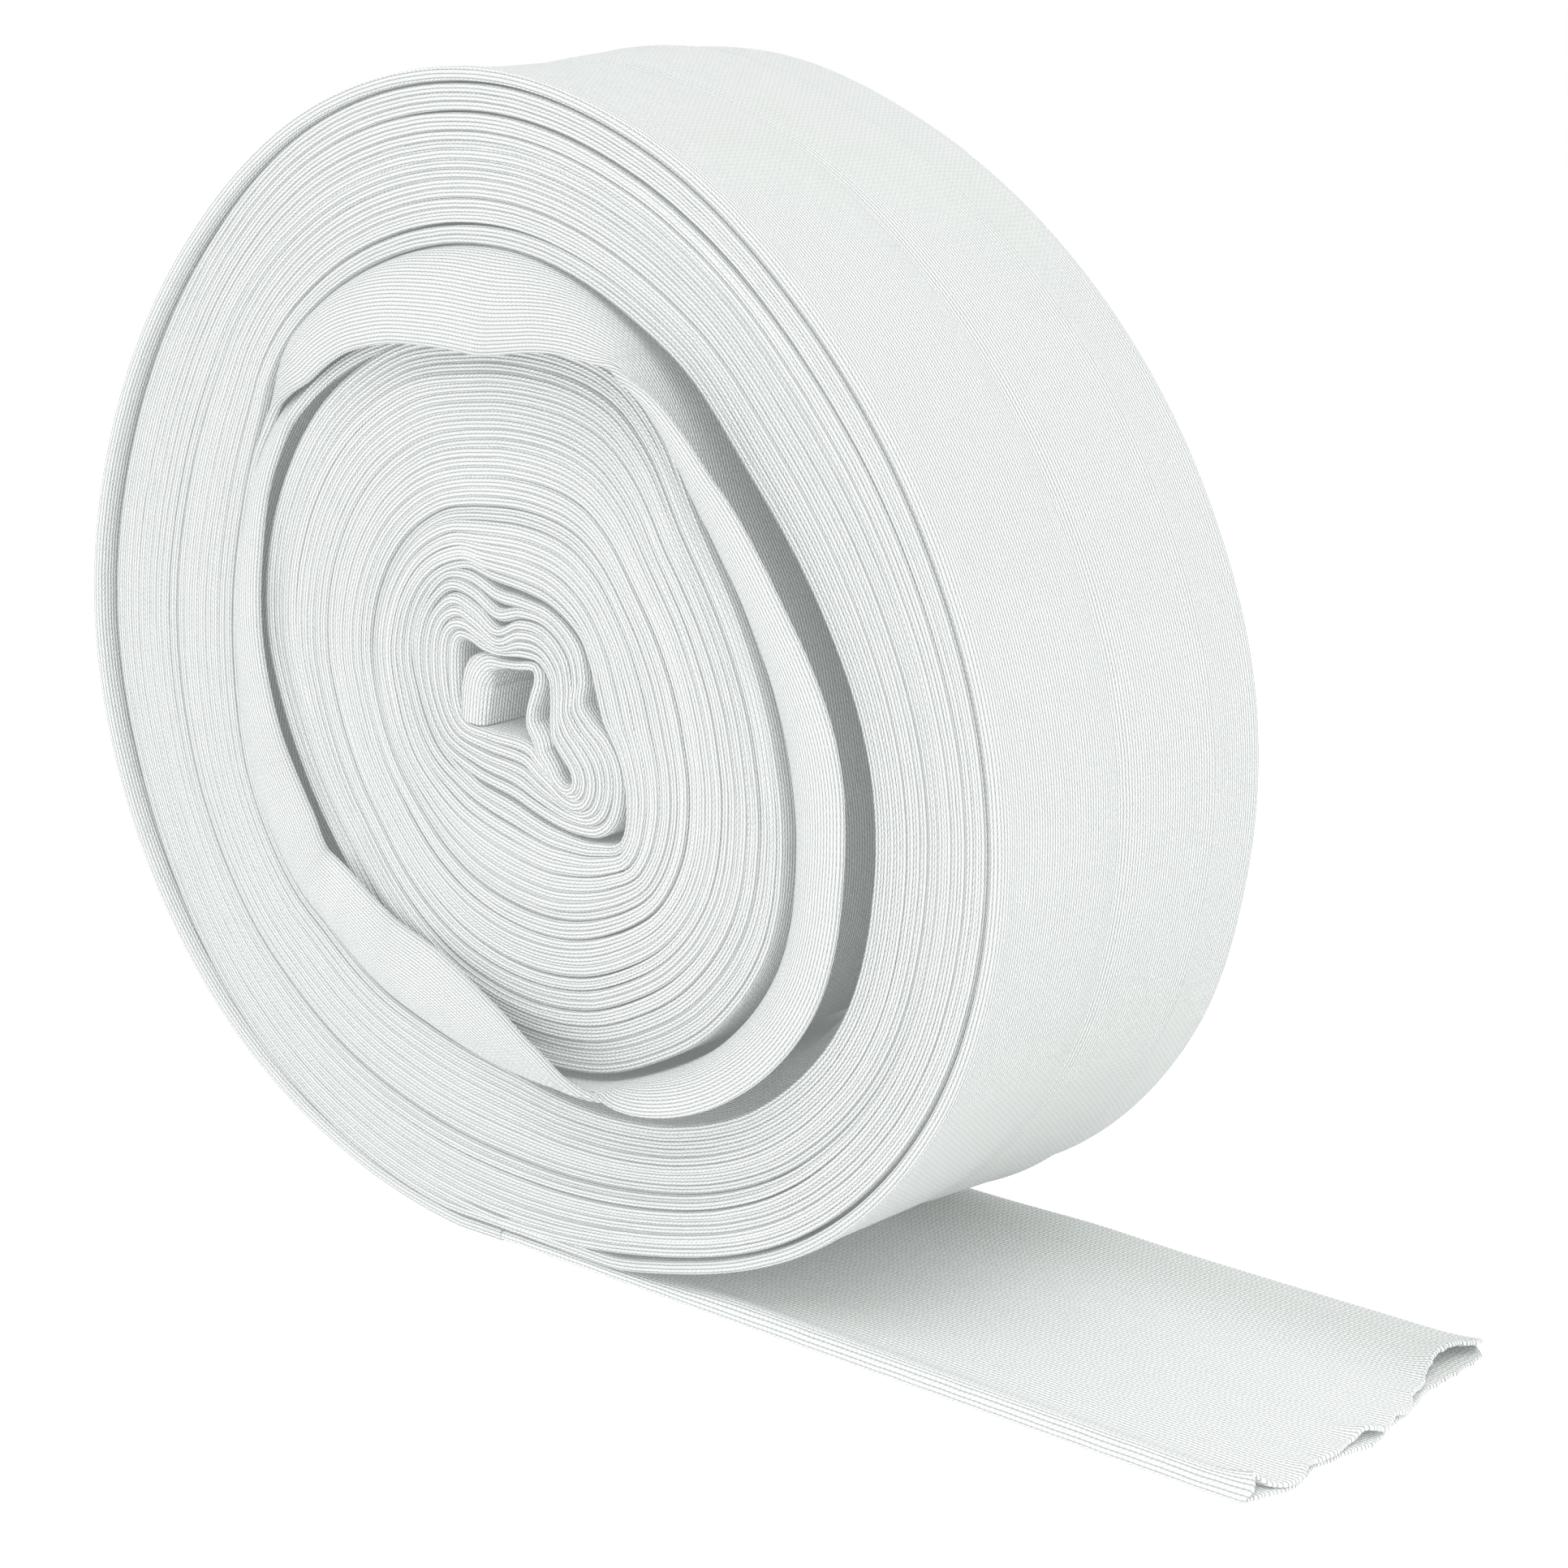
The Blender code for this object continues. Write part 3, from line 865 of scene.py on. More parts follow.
def turns_between(start: float, end: float, step: float, round_share: float) -> np.ndarray:
    """Turn counts for the sections of a stretch, closer together where the turns are small.

    Args:
        start: first turn count.
        end: last turn count.
        step: greatest distance between sections, in metres.
        round_share: distance between sections as a share of the turn's radius.

    Returns:
        Rising turn counts.
    """
    fine = np.linspace(start, end, int((end - start) * TRIAL_STEPS) + 2)
    path = WINDING.path(fine)
    radius = np.linalg.norm(path - BUNCH_CENTRE, axis=1)
    wanted = np.clip(round_share * radius, CLOSEST_SECTIONS, step)
    steps = np.linalg.norm(np.diff(path, axis=0), axis=1) / (0.5 * (wanted[1:] + wanted[:-1]))
    gone = np.concatenate([[0.0], np.cumsum(steps)])
    return np.interp(np.linspace(0.0, gone[-1], int(gone[-1]) + 2), gone, fine)


def place_rings(turn: np.ndarray, ring: np.ndarray, tiny: float = 0.0008) -> np.ndarray:
    """Set rings on the winding's path.

    Args:
        turn: turn count of each ring.
        ring: its points, places outwards and inwards from the face.
        tiny: turns to look ahead and back for the path's direction.

    Returns:
        The points in space, by ring and point.
    """
    path = WINDING.path(turn)
    ahead, before = np.minimum(turn + tiny, TUBE.turns), np.maximum(turn - tiny, TUBE.first_turn)
    onward = WINDING.path(ahead) - WINDING.path(before)
    onward /= np.linalg.norm(onward, axis=1, keepdims=True)
    out = np.stack([onward[:, 1], -onward[:, 0]], -1)
    flat = path[:, None, :] + out[:, None, :] * ring[..., :1]
    return np.stack([flat[..., 0], TUBE.front + ring[..., 1], flat[..., 1]], -1)


def skin(name: str, strip: Strip, material: bpy.types.Material) -> bpy.types.Object:
    """Skin a strip of rings into one closed mesh, with the stitch counts as its UV map.

    Args:
        name: the piece's name.
        strip: the rings and their stitch counts.
        material: its finish.

    Returns:
        The finished object, with its place in its mesh.
    """
    count, around_count = strip.rings.shape[:2]
    row, place = np.meshgrid(np.arange(count - 1), np.arange(around_count), indexing="ij")
    onward = (place + 1) % around_count
    quads = np.stack([row * around_count + place, row * around_count + onward,
                      (row + 1) * around_count + onward, (row + 1) * around_count + place], -1)
    faces = quads.reshape(-1, 4).tolist()
    courses = strip.length / TUBE.course
    lengthwise = np.stack([courses[row], courses[row], courses[row + 1], courses[row + 1]], -1)
    wales = np.stack([strip.girth[row, place], strip.girth[row, place + 1],
                      strip.girth[row + 1, place + 1], strip.girth[row + 1, place]], -1)
    uv = np.stack([lengthwise, wales], -1).reshape(-1, 2)
    faces.append(list(range(around_count - 1, -1, -1)))
    faces.append(list(range((count - 1) * around_count, count * around_count)))
    first = np.stack([np.full(around_count, courses[0]), strip.girth[0, -2::-1]], -1)
    last = np.stack([np.full(around_count, courses[-1]), strip.girth[-1, :-1]], -1)
    data = bpy.data.meshes.new(name)
    data.from_pydata(strip.rings.reshape(-1, 3).tolist(), [], faces)
    layer = data.uv_layers.new(name=STITCH_MAP)
    layer.data.foreach_set("uv", np.concatenate([uv, first, last]).ravel())
    if strip.openness is not None:
        mark = data.attributes.new(OPEN_MARK, "FLOAT", "POINT")
        mark.data.foreach_set("value", strip.openness.ravel())
    data.materials.append(material)
    data.shade_smooth()
    data.set_sharp_from_angle(angle=math.radians(SHARP_FROM))
    made = bpy.data.objects.new(name, data)
    bpy.context.scene.collection.objects.link(made)
    return made


@dataclass(frozen=True)
class NodeSheet:
    """A node tree with short ways to add what a knit needs."""

    tree: bpy.types.NodeTree

    def add(self, kind: str, **values: object) -> bpy.types.Node:
        """Add a node and set its properties.

        Args:
            kind: the node's type.
            values: its properties by name.

        Returns:
            The new node.
        """
        node = self.tree.nodes.new(kind)
        for key, value in values.items():
            setattr(node, key, value)
        return node

    def feed(self, socket: bpy.types.NodeSocket, source: object) -> None:
        """Link a source to a socket, or set the socket where the source is a plain value.

        Args:
            socket: the input to feed.
            source: an output, or a value.
        """
        if isinstance(source, bpy.types.NodeSocket):
            self.tree.links.new(source, socket)
        else:
            socket.default_value = source

    def dress(self, node: bpy.types.Node, sources: dict) -> None:
        """Feed several of a node's inputs, by name."""
        for label, source in sources.items():
            self.feed(node.inputs[label], source)

    def math(self, operation: str, first: object, second: object = 0.0,
             third: object = 0.0) -> bpy.types.NodeSocket:
        """Add a Math node.

        Args:
            operation: what it does.
            first: first value or output.
            second: second one.
            third: third one.

        Returns:
            Its output.
        """
        node = self.add("ShaderNodeMath", operation=operation)
        for socket, source in zip(node.inputs, (first, second, third)):
            self.feed(socket, source)
        return node.outputs[0]

    def mix(self, share: object, first: object, second: object) -> bpy.types.NodeSocket:
        """Mix two colours, whose sockets stand after the node's numbers and vectors.

        Args:
            share: how much of the second colour.
            first: first colour.
            second: second colour.

        Returns:
            The mixed colour.
        """
        node = self.add("ShaderNodeMix", data_type="RGBA")
        for place, source in ((0, share), (6, first), (7, second)):
            self.feed(node.inputs[place], source)
        return node.outputs[2]

    def noise(self, vector: object, scale: float, detail: float = 2.0) -> bpy.types.NodeSocket:
        """Add a noise texture.

        Args:
            vector: where it is read.
            scale: its scale.
            detail: its detail.

        Returns:
            Its value.
        """
        node = self.add("ShaderNodeTexNoise")
        self.dress(node, {"Vector": vector, "Scale": scale, "Detail": detail})
        return node.outputs["Fac"]


@dataclass
class StitchGroup:
    """Jersey stitches: columns of nested V shapes, counted in courses along and wales round the tube."""

    name: str = "Jersey stitches"
    slant: float = 1.15
    sway_courses: float = 0.45
    sway_wales: float = 0.16
    sway_scale: float = 260.0
    lean_scale: float = 156.0
    leg_power: float = 0.7
    strand_power: float = 0.8
    strand_share: float = 0.62
    closed_power: float = 2.4
    opening: float = -1.6
    made: bpy.types.NodeTree | None = field(default=None, init=False)

    def tree(self) -> bpy.types.NodeTree:
        """Build the group once, and give it to every material that asks.

        Returns:
            The node group, which takes a stitch count, a place and how open the knit is, and gives the
            height of the yarn and a mask of the painted shade between stitches.
        """
        if self.made is not None:
            return self.made
        tree = bpy.data.node_groups.new(self.name, "ShaderNodeTree")
        for label, kind in (("Stitch", "NodeSocketVector"), ("Place", "NodeSocketVector"),
                            ("Openness", "NodeSocketFloat")):
            tree.interface.new_socket(name=label, in_out="INPUT", socket_type=kind)
        for label in ("Height", "Hollow"):
            tree.interface.new_socket(name=label, in_out="OUTPUT", socket_type="NodeSocketFloat")
        sheet = NodeSheet(tree)
        given, result = sheet.add("NodeGroupInput"), sheet.add("NodeGroupOutput")
        split = sheet.add("ShaderNodeSeparateXYZ")
        sheet.feed(split.inputs[0], given.outputs["Stitch"])
        place = given.outputs["Place"]
        sway = sheet.math("SUBTRACT", sheet.noise(place, self.sway_scale), 0.5)
        lean = sheet.math("SUBTRACT", sheet.noise(place, self.lean_scale, detail=1.0), 0.5)
        course = sheet.math("MULTIPLY_ADD", sway, self.sway_courses, split.outputs[0])
        wale = sheet.math("MULTIPLY_ADD", lean, self.sway_wales, split.outputs[1])
        side = sheet.math("ABSOLUTE", sheet.math("SUBTRACT", sheet.math("FRACT", wale), 0.5))
        leg = self.arch(sheet, sheet.math("MULTIPLY", side, 2.0 * math.pi), self.leg_power)
        phase = sheet.math("FRACT", sheet.math("MULTIPLY_ADD", side, self.slant, course))
        strand = self.arch(sheet, sheet.math("MULTIPLY", phase, math.pi), self.strand_power)
        ridge = sheet.math("MULTIPLY_ADD", strand, self.strand_share, 1.0 - self.strand_share)
        height = sheet.math("MULTIPLY", leg, ridge)
        # Painted shade: the lower the yarn lies, the stronger the mask, and stronger still where the knit is
        # open.
        power = sheet.math("MULTIPLY_ADD", given.outputs["Openness"], self.opening, self.closed_power)
        hollow = sheet.math("POWER", sheet.math("SUBTRACT", 1.0, height), power)
        sheet.dress(result, {"Height": height, "Hollow": hollow})
        self.made = tree
        return tree

    def arch(self, sheet: NodeSheet, turn: bpy.types.NodeSocket, power: float) -> bpy.types.NodeSocket:
        """Rounded height of a yarn, the sine of an angle to a power."""
        return sheet.math("POWER", sheet.math("MAXIMUM", sheet.math("SINE", turn), 0.0), power)


STITCHES = StitchGroup()


@dataclass(frozen=True)
class KnitFinish:
    """White cotton jersey: clean yarn with painted shade between the stitches, and a little fibre and lint.

    Thin cotton lets light through from behind, which a faint light of its own stands for.
    """

    name: str
    yarn: tuple = (0.855, 0.88, 0.87, 1.0)
    # Colour of the painted shade between the stitches.
    shaded: tuple = (0.53, 0.57, 0.54, 1.0)
    tint: tuple = (0.84, 0.87, 0.86, 1.0)
    lint: tuple = (0.45, 0.42, 0.36, 1.0)
    relief: float = 0.5 * MM
    relief_strength: float = 1.0
    roughness: float = 0.9
    shine_through: float = 0.12
    specular: float = 0.15
    sheen: float = 0.15
    sheen_roughness: float = 0.6
    tint_share: float = 0.5
    patch_scale: float = 28.0
    fibre_scale: float = 2600.0
    fibre_relief: float = 0.22
    lint_scale: float = 95.0
    lint_amount: float = 0.045
    lint_size: float = 0.022
    lint_strength: float = 0.5
    # How open the knit is, which deepens the painted shade between its stitches.
    openness: float = 0.25
    reads_openness: bool = False

    def material(self) -> bpy.types.Material:
        """Build the material.

        Returns:
            The finished material.
        """
        made = bpy.data.materials.new(self.name)
        made.use_nodes = True
        sheet = NodeSheet(made.node_tree)
        place = sheet.add("ShaderNodeTexCoord").outputs["Object"]
        stitch = sheet.add("ShaderNodeUVMap", uv_map=STITCH_MAP).outputs["UV"]
        knit = sheet.add("ShaderNodeGroup", node_tree=STITCHES.tree())
        sheet.dress(knit, {"Stitch": stitch, "Place": place, "Openness": self.openness})
        if self.reads_openness:
            mark = sheet.add("ShaderNodeAttribute", attribute_name=OPEN_MARK)
            sheet.feed(knit.inputs["Openness"], mark.outputs["Fac"])
        patch = sheet.math("MULTIPLY", sheet.noise(place, self.patch_scale, detail=3.0), self.tint_share)
        colour = sheet.mix(patch, self.yarn, self.tint)
        # Painted shade: the hollows between the stitches are darkened towards the shaded colour.
        colour = sheet.mix(knit.outputs["Hollow"], colour, self.shaded)
        colour = sheet.mix(self.lint_mask(sheet, place), colour, self.lint)
        fibre = sheet.noise(place, self.fibre_scale)
        height = sheet.math("MULTIPLY_ADD", fibre, self.fibre_relief, knit.outputs["Height"])
        bumped = sheet.add("ShaderNodeBump")
        sheet.dress(bumped, {"Strength": self.relief_strength, "Distance": self.relief, "Height": height})
        sheet.dress(made.node_tree.nodes["Principled BSDF"], {
            "Base Color": colour,
            "Emission Color": colour,
            "Emission Strength": self.shine_through,
            "Roughness": self.roughness,
            "Sheen Weight": self.sheen,
            "Sheen Roughness": self.sheen_roughness,
            "Specular IOR Level": self.specular,
            "Normal": bumped.outputs["Normal"],
        })
        return made

    def lint_mask(self, sheet: NodeSheet, place: bpy.types.NodeSocket) -> bpy.types.NodeSocket:
        """Sparse tiny specks of lint, as a mask.

        Args:
            sheet: the material's nodes.
            place: Object coordinates.

        Returns:
            The mask.
        """
        cells = sheet.add("ShaderNodeTexVoronoi")
        sheet.dress(cells, {"Vector": place, "Scale": self.lint_scale})
        chance = sheet.add("ShaderNodeSeparateColor")
        sheet.feed(chance.inputs[0], cells.outputs["Color"])
        rare = sheet.math("LESS_THAN", chance.outputs[0], self.lint_amount)
        near = sheet.math("LESS_THAN", cells.outputs["Distance"], self.lint_size)
        return sheet.math("MULTIPLY", sheet.math("MULTIPLY", rare, near), self.lint_strength)


@dataclass
class WoundPiece:
    """A stretch of the wound tube, from one turn count to another."""

    name: str
    start: float
    end: float
    step: float
    round_share: float
    levels: tuple = (0.0, 0.026, 0.09, 0.26, 0.50, 0.74, 0.974, 1.0)
    fold_steps: int = 5

    def section(self, turn: np.ndarray, levels: np.ndarray) -> tuple[np.ndarray, np.ndarray]:
        """Work out the tube's section at each turn count.

        Args:
            turn: turn counts.
            levels: places across the width as shares.

        Returns:
            The middle line and half the thickness, by turn and level.
        """
        line = WINDING.plain_section(turn, levels)
        half = np.repeat(WINDING.half_thickness(turn)[:, None], len(levels), axis=1)
        return line, half

    def strip(self) -> Strip:
        """Work out the rings round the tube along this stretch.

        Returns:
            The rings and their stitch counts.
        """
        turn = turns_between(self.start, self.end, self.step, self.round_share)
        line, half = self.section(turn, np.array(self.levels))
        ring = rounded_ring(line, half, WINDING.fold_reach(turn), self.fold_steps)
        girth = girth_of(ring, self.fold_steps // 2)
        return Strip(place_rings(turn, ring), length_at(turn), girth)

    def build(self, finish: KnitFinish) -> bpy.types.Object:
        """Make the piece and dress it.

        Args:
            finish: the knit that it is made of.

        Returns:
            The finished object.
        """
        strip = self.strip()
        made = skin(self.name, strip, finish.material())
        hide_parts("roll")
        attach(made, "root")
        return made


@dataclass
class SlippedTurn(WoundPiece):
    """The turn that has slid forward out of the winding and leans in or out over its neighbours."""

    levels: tuple = (tuple(round(0.0125 * step, 4) for step in range(33))
                     + (0.46, 0.55, 0.7, 0.85, 0.974, 1.0))
    fold_steps: int = 7
    root_depth: float = 2.4 * MM
    deeper: float = 4.6 * MM
    deeper_by: float = 7.0 * MM
    turn_in: float = 0.62
    tuck: float = 1.5 * MM
    lay_out: float = 0.55
    droop: float = 0.12
    half_root: float = 0.75 * MM
    half_edge: float = 1.0 * MM
    edge_from: float = 0.02
    edge_to: float = 0.22
    curve_steps: int = 60

    def section(self, turn: np.ndarray, levels: np.ndarray) -> tuple[np.ndarray, np.ndarray]:
        """Section with the free band bent over, blended with the plain one where the slip begins and ends.

        Args:
            turn: turn counts.
            levels: places across the width as shares.

        Returns:
            The middle line and half the thickness, by turn and level.
        """
        angle = WINDING.angle(turn)
        plain, half = super().section(turn, levels)
        reach = around(SLIPPED_BAND, "edge", angle) - around(SLIPPED_BAND, "root", angle)
        proud = around(SLIPPED_BAND, "proud", angle)
        slipped = np.stack([self.bent(out, up, levels) for out, up in zip(reach, proud)])
        share = WINDING.band_share(turn)[:, None]
        line = plain + (slipped - plain) * share[..., None]
        toward_edge = 1.0 - ease(levels, self.edge_from, self.edge_to)
        free_half = self.half_root + (self.half_edge - self.half_root) * toward_edge
        return line, half + (free_half[None, :] - half) * share

    def bent(self, reach: float, proud: float, levels: np.ndarray) -> np.ndarray:
        """Middle line of one section of the slipped turn.

        Args:
            reach: how far outwards the free edge lies from the root, negative where it leans in.
            proud: how far the edge stands out of the face.
            levels: places across the width as shares.

        Returns:
            Places outwards and inwards from the face, by level.
        """
        run = np.linspace(0.0, 1.0, self.curve_steps)
        depth = self.root_depth + self.deeper * min(max(reach / self.deeper_by, 0.0), 1.0)
        root, edge = np.array([0.0, depth]), np.array([reach, -proud])
        rising = root - np.array([0.0, self.turn_in * (depth + proud) + self.tuck])
        laid = edge - np.array([self.lay_out * reach, self.droop * proud])
        weights = ((1 - run) ** 3, 3 * (1 - run) ** 2 * run, 3 * (1 - run) * run ** 2, run ** 3)
        curve = sum(weight[:, None] * point for weight, point in zip(weights, (edge, laid, rising, root)))
        gone = np.concatenate([[0.0], np.cumsum(np.linalg.norm(np.diff(curve, axis=0), axis=1))])
        place = levels * TUBE.width
        out = np.interp(place, gone, curve[:, 0])
        deep = np.interp(place, gone, curve[:, 1]) + np.maximum(place - gone[-1], 0.0)
        return np.stack([out, deep], -1)


@dataclass
class OutermostTurn(WoundPiece):
    """The turn whose outside is the rim, with puffed folds, a faint crease and a low ridge round it."""

    levels: tuple = (0.0, 0.02, 0.035, 0.05, 0.065, 0.085, 0.11, 0.15, 0.20, 0.26, 0.32, 0.37, 0.41, 0.44,
                     0.46, 0.49, 0.53, 0.58, 0.64, 0.70, 0.74, 0.77, 0.80, 0.83, 0.86, 0.89, 0.92, 0.945,
                     0.96, 0.975, 0.986, 1.0)
    fold_steps: int = 9
    crease_at: float = 0.45
    crease_width: float = 0.035
    crease_depth: float = 0.7 * MM
    ridge_at: float = 0.80
    ridge_width: float = 0.03
    ridge_height: float = 0.45 * MM
    puff: float = 0.28 * MM
    # Middle and width of each puff, as shares of the width.
    front_puff: tuple = (0.03, 0.022)
    back_puff: tuple = (0.975, 0.02)
    back_puff_share: float = 0.7
    ripple: float = 0.22 * MM
    ripples: float = 12.0
    ripple_across: float = 2.3
    # Turns after its start, and before its end, between which the turn takes its own form.
    settles: tuple = (0.02, 0.12)
    unsettles: tuple = (0.1, 0.02)

    def section(self, turn: np.ndarray, levels: np.ndarray) -> tuple[np.ndarray, np.ndarray]:
        """Section with the crease, the ridge and the puffed folds, which start a little way into the turn.

        Args:
            turn: turn counts.
            levels: places across the width as shares.

        Returns:
            The middle line and half the thickness, by turn and level.
        """
        line, half = super().section(turn, levels)
        settled = ease(turn, *(self.start + place for place in self.settles))
        settled = settled * (1.0 - ease(turn, *(self.end - place for place in self.unsettles)))
        puffed = bump(levels, *self.front_puff) + self.back_puff_share * bump(levels, *self.back_puff)
        shift = (self.ridge_height * bump(levels, self.ridge_at, self.ridge_width)
                 - self.crease_depth * bump(levels, self.crease_at, self.crease_width))
        line[..., 0] += shift[None, :] * settled[:, None]
        rippled = self.ripple * wander(turn * self.ripples, Noise.RIM_LONG)[:, None]
        line[..., 0] += rippled * np.sin(levels * math.pi * self.ripple_across) * settled[:, None]
        return line, half + self.puff * puffed[None, :] * settled[:, None]


@dataclass
class LooseEnd:
    """The flat double layer on the table, with its puffed front fold and its wavy, curling cut."""

    name: str = "loose_end_cloth"
    spread_start: float = 34.0 * MM
    spread_length: float = 26.0 * MM
    curl_length: float = 9.0 * MM
    fold_reach: float = 1.6 * MM
    fold_steps: int = 9
    levels: int = 64
    sections: int = 110
    ragged: float = 0.35 * MM
    upper_shift: float = 80.0
    bulge_at: float = 85.0 * MM
    bulge_length: float = 14.0 * MM
    bulge: float = 0.9 * MM
    bulge_from: float = 0.7
    mouth_depth: float = 6.0 * MM
    mouth_steps: tuple = (0.15, 0.4, 0.7, 1.0)
    edge_turns: tuple = (35.0, 70.0, 110.0, 145.0, 180.0)
    wall_share: float = 0.44
    closed_knit: float = 0.1
    more_open: float = 0.8
    opens_from: float = 0.55
    open_at: float = 0.9
    # Openness on the front fold, which paints shade there.
    fold_painted_shade: float = 0.15
    fold_from: float = 1.0 * MM
    fold_to: float = 5.0 * MM

    def read(self, name: str, side: np.ndarray) -> np.ndarray:
        """Read a column of the loose end's table at places across the width."""
        return along(LOOSE_END, name, side, MM, MM)

    def thickness(self, place: np.ndarray, side: np.ndarray, cut: np.ndarray) -> np.ndarray:
        """Height of the upper face over the table.

        Args:
            place: places along X.
            side: places across the width.
            cut: where the cloth is cut there.

        Returns:
            Heights of the upper face.
        """
        spread = ease(place, self.spread_start, self.spread_start + self.spread_length)
        curl = np.clip(1.0 - (cut - place) / self.curl_length, 0.0, 1.0)
        flat = TUBE.outer_thickness + spread * (self.read("height", side) - TUBE.outer_thickness)
        return flat + curl ** 2 * self.read("lift", side)

    def wall(self, height: np.ndarray) -> np.ndarray:
        """Thickness of one layer where the two together have this height."""
        return np.minimum(TUBE.wall, self.wall_share * height)

    def build(self, finish: KnitFinish) -> bpy.types.Object:
        """Make the loose end and dress it.

        Args:
            finish: the knit that it is made of.

        Returns:
            The finished object.
        """
        sweep = np.radians(np.linspace(0.0, 180.0, self.fold_steps))
        middle = np.linspace(self.fold_reach, TUBE.width - self.fold_reach, self.levels)
        front, flat = self.fold_reach * (1.0 - np.sin(sweep)), np.ones(self.levels - 2)
        side = np.concatenate([front, middle[1:-1], TUBE.width - front, middle[-2:0:-1]])
        up = np.concatenate([np.cos(sweep), -flat, -np.cos(sweep), flat])
        upper, lower = self.read("upper_cut", side), self.read("lower_cut", side)
        cut = lower + (upper - lower) * 0.5 * (1.0 + up)
        cut = cut + self.ragged * wander(side / MM + self.upper_shift * (up > 0.0), Noise.RAGGED)
        share = np.sin(0.5 * math.pi * np.linspace(0.0, 1.0, self.sections))
        x = share[:, None] * cut[None, :]
        z = 0.5 * self.thickness(x, side[None, :], cut[None, :]) * (1.0 + up[None, :])
        far = ease(side, self.bulge_from * TUBE.width, TUBE.width)
        bulging = self.bulge * bump(x, self.bulge_at, self.bulge_length) * far[None, :]
        outside = np.stack([x, TUBE.front + side[None, :] + bulging, z], -1)
        rings = np.concatenate([outside, self.mouth(outside[-1], up, side, cut)])
        girth = np.repeat(girth_of(outside[:1], self.fold_steps // 2), len(rings), axis=0)
        steps = np.concatenate([[0.0], np.abs(np.diff(np.mean(rings[..., 0], axis=1)))])
        length = float(length_at(np.array([TUBE.turns]))[0]) + np.cumsum(steps)
        openness = np.repeat(self.openness(side)[None, :], len(rings), axis=0)
        made = skin(self.name, Strip(rings, length, girth, openness), finish.material())
        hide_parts("loose_end")
        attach(made, "root")
        log.info("%s: %d faces", self.name, len(made.data.polygons))
        return made

    def mouth(self, last: np.ndarray, up: np.ndarray, side: np.ndarray, cut: np.ndarray) -> np.ndarray:
        """Rings over the raw edge of the two layers and back into the tube.

        Args:
            last: the last ring of the outside.
            up: 1 on the upper layer, -1 on the lower one, between them on the folds.
            side: places across the width.
            cut: where the cloth is cut at each point of the ring.

        Returns:
            The further rings, the last of them deep in the tube.
        """
        none = np.zeros_like(up)
        wall = self.wall(self.thickness(cut, side, cut))
        folded = np.sqrt(np.maximum(1.0 - up * up, 0.0))
        inward = np.stack([none, np.where(side < 0.5 * TUBE.width, folded, -folded), -up], -1)
        rings = []
        for turn in np.radians(self.edge_turns):
            offset = inward * (0.5 * wall * (1.0 - math.cos(turn)))[:, None]
            rings.append(last + offset + np.stack([0.5 * wall * math.sin(turn), none, none], -1))
        for depth in self.mouth_steps:
            x = cut - depth * self.mouth_depth
            height = self.thickness(x, side, cut)
            point = np.stack([x, TUBE.front + side, 0.5 * height * (1.0 + up)], -1)
            rings.append(point + inward * self.wall(height)[:, None])
        return np.stack(rings)

    def openness(self, side: np.ndarray) -> np.ndarray:
        """How open the knit is, which deepens the painted shade between its stitches: more towards the far
        edge, where the knit is open, and a little on the front fold, where it stands for the shade on the
        fold.

        Args:
            side: places across the width.

        Returns:
            The openness there, from 0 up.
        """
        fold = 1.0 - ease(side, self.fold_from, self.fold_to)
        far = ease(side, self.opens_from * TUBE.width, self.open_at * TUBE.width)
        return self.closed_knit + self.more_open * far + self.fold_painted_shade * fold


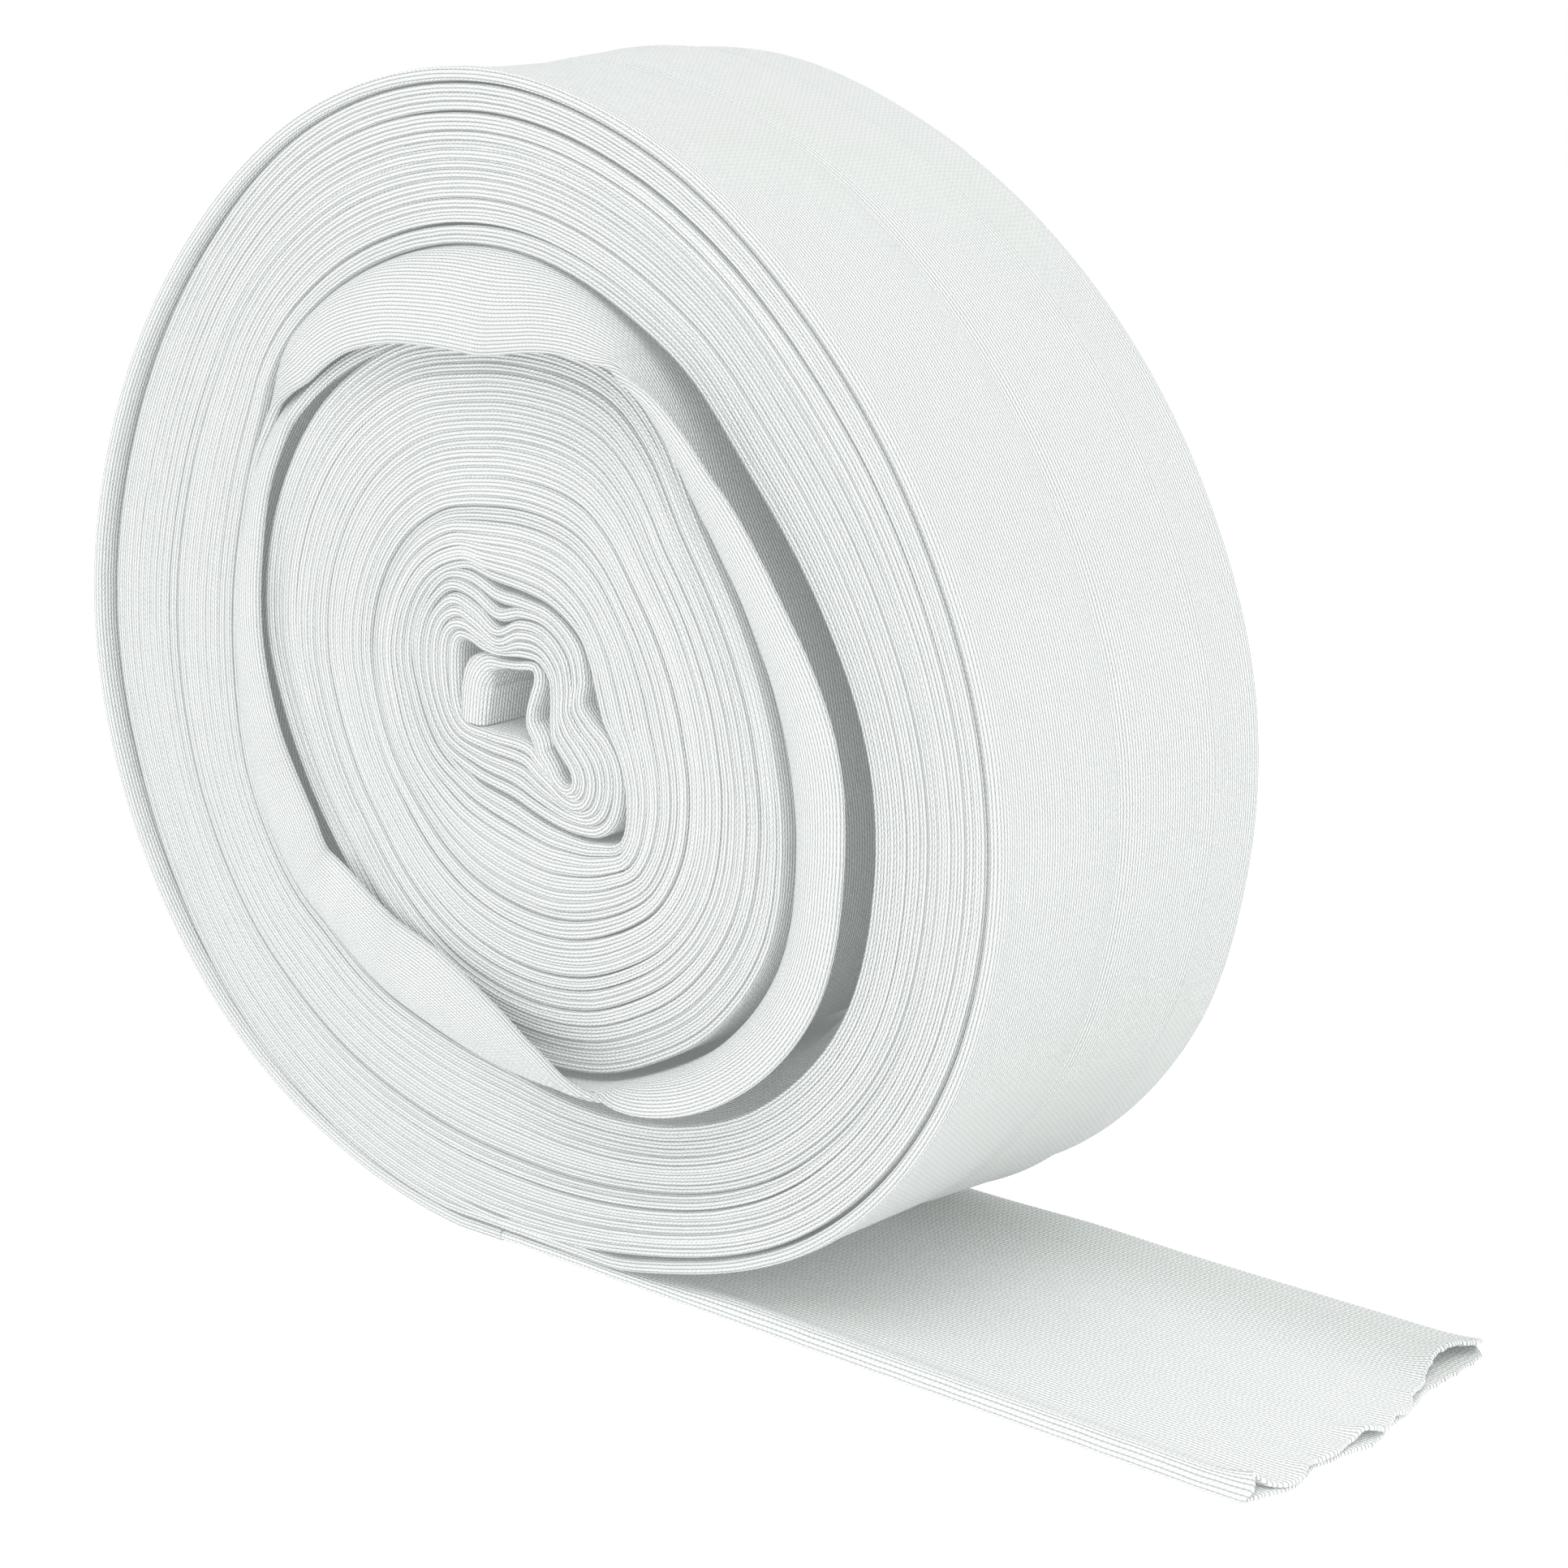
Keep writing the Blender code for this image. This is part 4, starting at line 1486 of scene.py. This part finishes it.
@dataclass(frozen=True)
class Studio:
    """Pale table, soft light and the camera."""

    camera_at: tuple = (0.38129, -0.40814, 0.22491)
    camera_to: tuple = (0.03858, 0.0, 0.08887)
    lens: float = 68.37
    sensor: float = 36.0
    sees_to: float = 50.0
    floor_size: float = 8.0
    floor_under: float = 0.05 * MM
    floor_colour: tuple = (0.93, 0.93, 0.93, 1.0)
    floor_roughness: float = 0.9
    floor_glow: float = 0.36
    white: tuple = (1.0, 1.0, 1.0, 1.0)
    world_light: float = 1.0
    lamp_size: float = 0.9
    key_power: float = 9.5
    key_at: tuple = (0.6, -0.7, 1.45)
    fill_power: float = 0.2
    fill_at: tuple = (-1.1, -0.6, 0.8)

    def set_up(self) -> None:
        """Build the table, the world, the lights and the camera."""
        self.floor()
        self.world()
        self.area("key", self.key_at, self.key_power)
        self.area("fill", self.fill_at, self.fill_power)
        self.camera()
        bpy.context.scene.view_settings.view_transform = "Standard"

    def floor(self) -> None:
        """Plain pale floor."""
        bpy.ops.object.select_all(action="DESELECT")
        bpy.ops.mesh.primitive_plane_add(size=self.floor_size, location=(0.0, 0.0, -self.floor_under))
        plane = bpy.context.active_object
        plane.name = "table_top"
        material = bpy.data.materials.new("pale_table")
        material.use_nodes = True
        NodeSheet(material.node_tree).dress(material.node_tree.nodes["Principled BSDF"], {
            "Base Color": self.floor_colour,
            "Roughness": self.floor_roughness,
            "Emission Color": self.white,
            "Emission Strength": self.floor_glow,
        })
        plane.data.materials.append(material)

    def world(self) -> None:
        """Even white surroundings."""
        world = bpy.data.worlds.new("studio")
        world.use_nodes = True
        NodeSheet(world.node_tree).dress(world.node_tree.nodes["Background"], {
            "Color": self.white,
            "Strength": self.world_light,
        })
        bpy.context.scene.world = world

    def area(self, name: str, place: tuple, power: float) -> None:
        """Add a square soft light that looks at the roll.

        Args:
            name: the light's name.
            place: where it stands.
            power: its power in watts.
        """
        data = bpy.data.lights.new(name, "AREA")
        data.energy = power
        data.size = self.lamp_size
        self.aim(bpy.data.objects.new(name, data), place)

    def camera(self) -> None:
        """Add the camera at the photograph's viewing angle."""
        data = bpy.data.cameras.new("view")
        data.lens = self.lens
        data.sensor_width = self.sensor
        data.clip_end = self.sees_to
        eye = bpy.data.objects.new("view", data)
        self.aim(eye, self.camera_at)
        bpy.context.scene.camera = eye

    def aim(self, thing: bpy.types.Object, place: tuple) -> None:
        """Put a light or the camera in its place, turned towards the roll.

        Args:
            thing: what to place.
            place: where it stands.
        """
        thing.location = place
        look = Vector(self.camera_to) - Vector(place)
        thing.rotation_euler = look.to_track_quat("-Z", "Y").to_euler()
        bpy.context.scene.collection.objects.link(thing)


def main() -> None:
    """Build the roll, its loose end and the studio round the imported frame."""
    logging.basicConfig(level=logging.INFO, format="%(name)s: %(message)s")
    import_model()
    Studio().set_up()
    before, after = WINDING.slip_start, WINDING.slip_end
    wound = (
        WoundPiece("inner_turns", TUBE.first_turn, before, step=3.2 * MM, round_share=0.052),
        SlippedTurn("slipped_turn", before, after, step=1.6 * MM, round_share=0.1),
        WoundPiece("outer_turns", after, TUBE.outer_start, step=3.6 * MM, round_share=0.1),
        OutermostTurn("outermost_turn", TUBE.outer_start, TUBE.turns, step=1.8 * MM, round_share=0.1),
    )
    for piece in wound:
        piece.build(KnitFinish(f"{piece.name}_knit"))
    # The loose end's darker shaded colour paints deeper shade between its stitches, which also dims the loose
    # end as a whole.
    LooseEnd().build(KnitFinish(
        "loose_end_knit", shaded=(0.33, 0.36, 0.34, 1.0), relief=0.27 * MM, reads_openness=True))


if __name__ == "__main__":
    main()
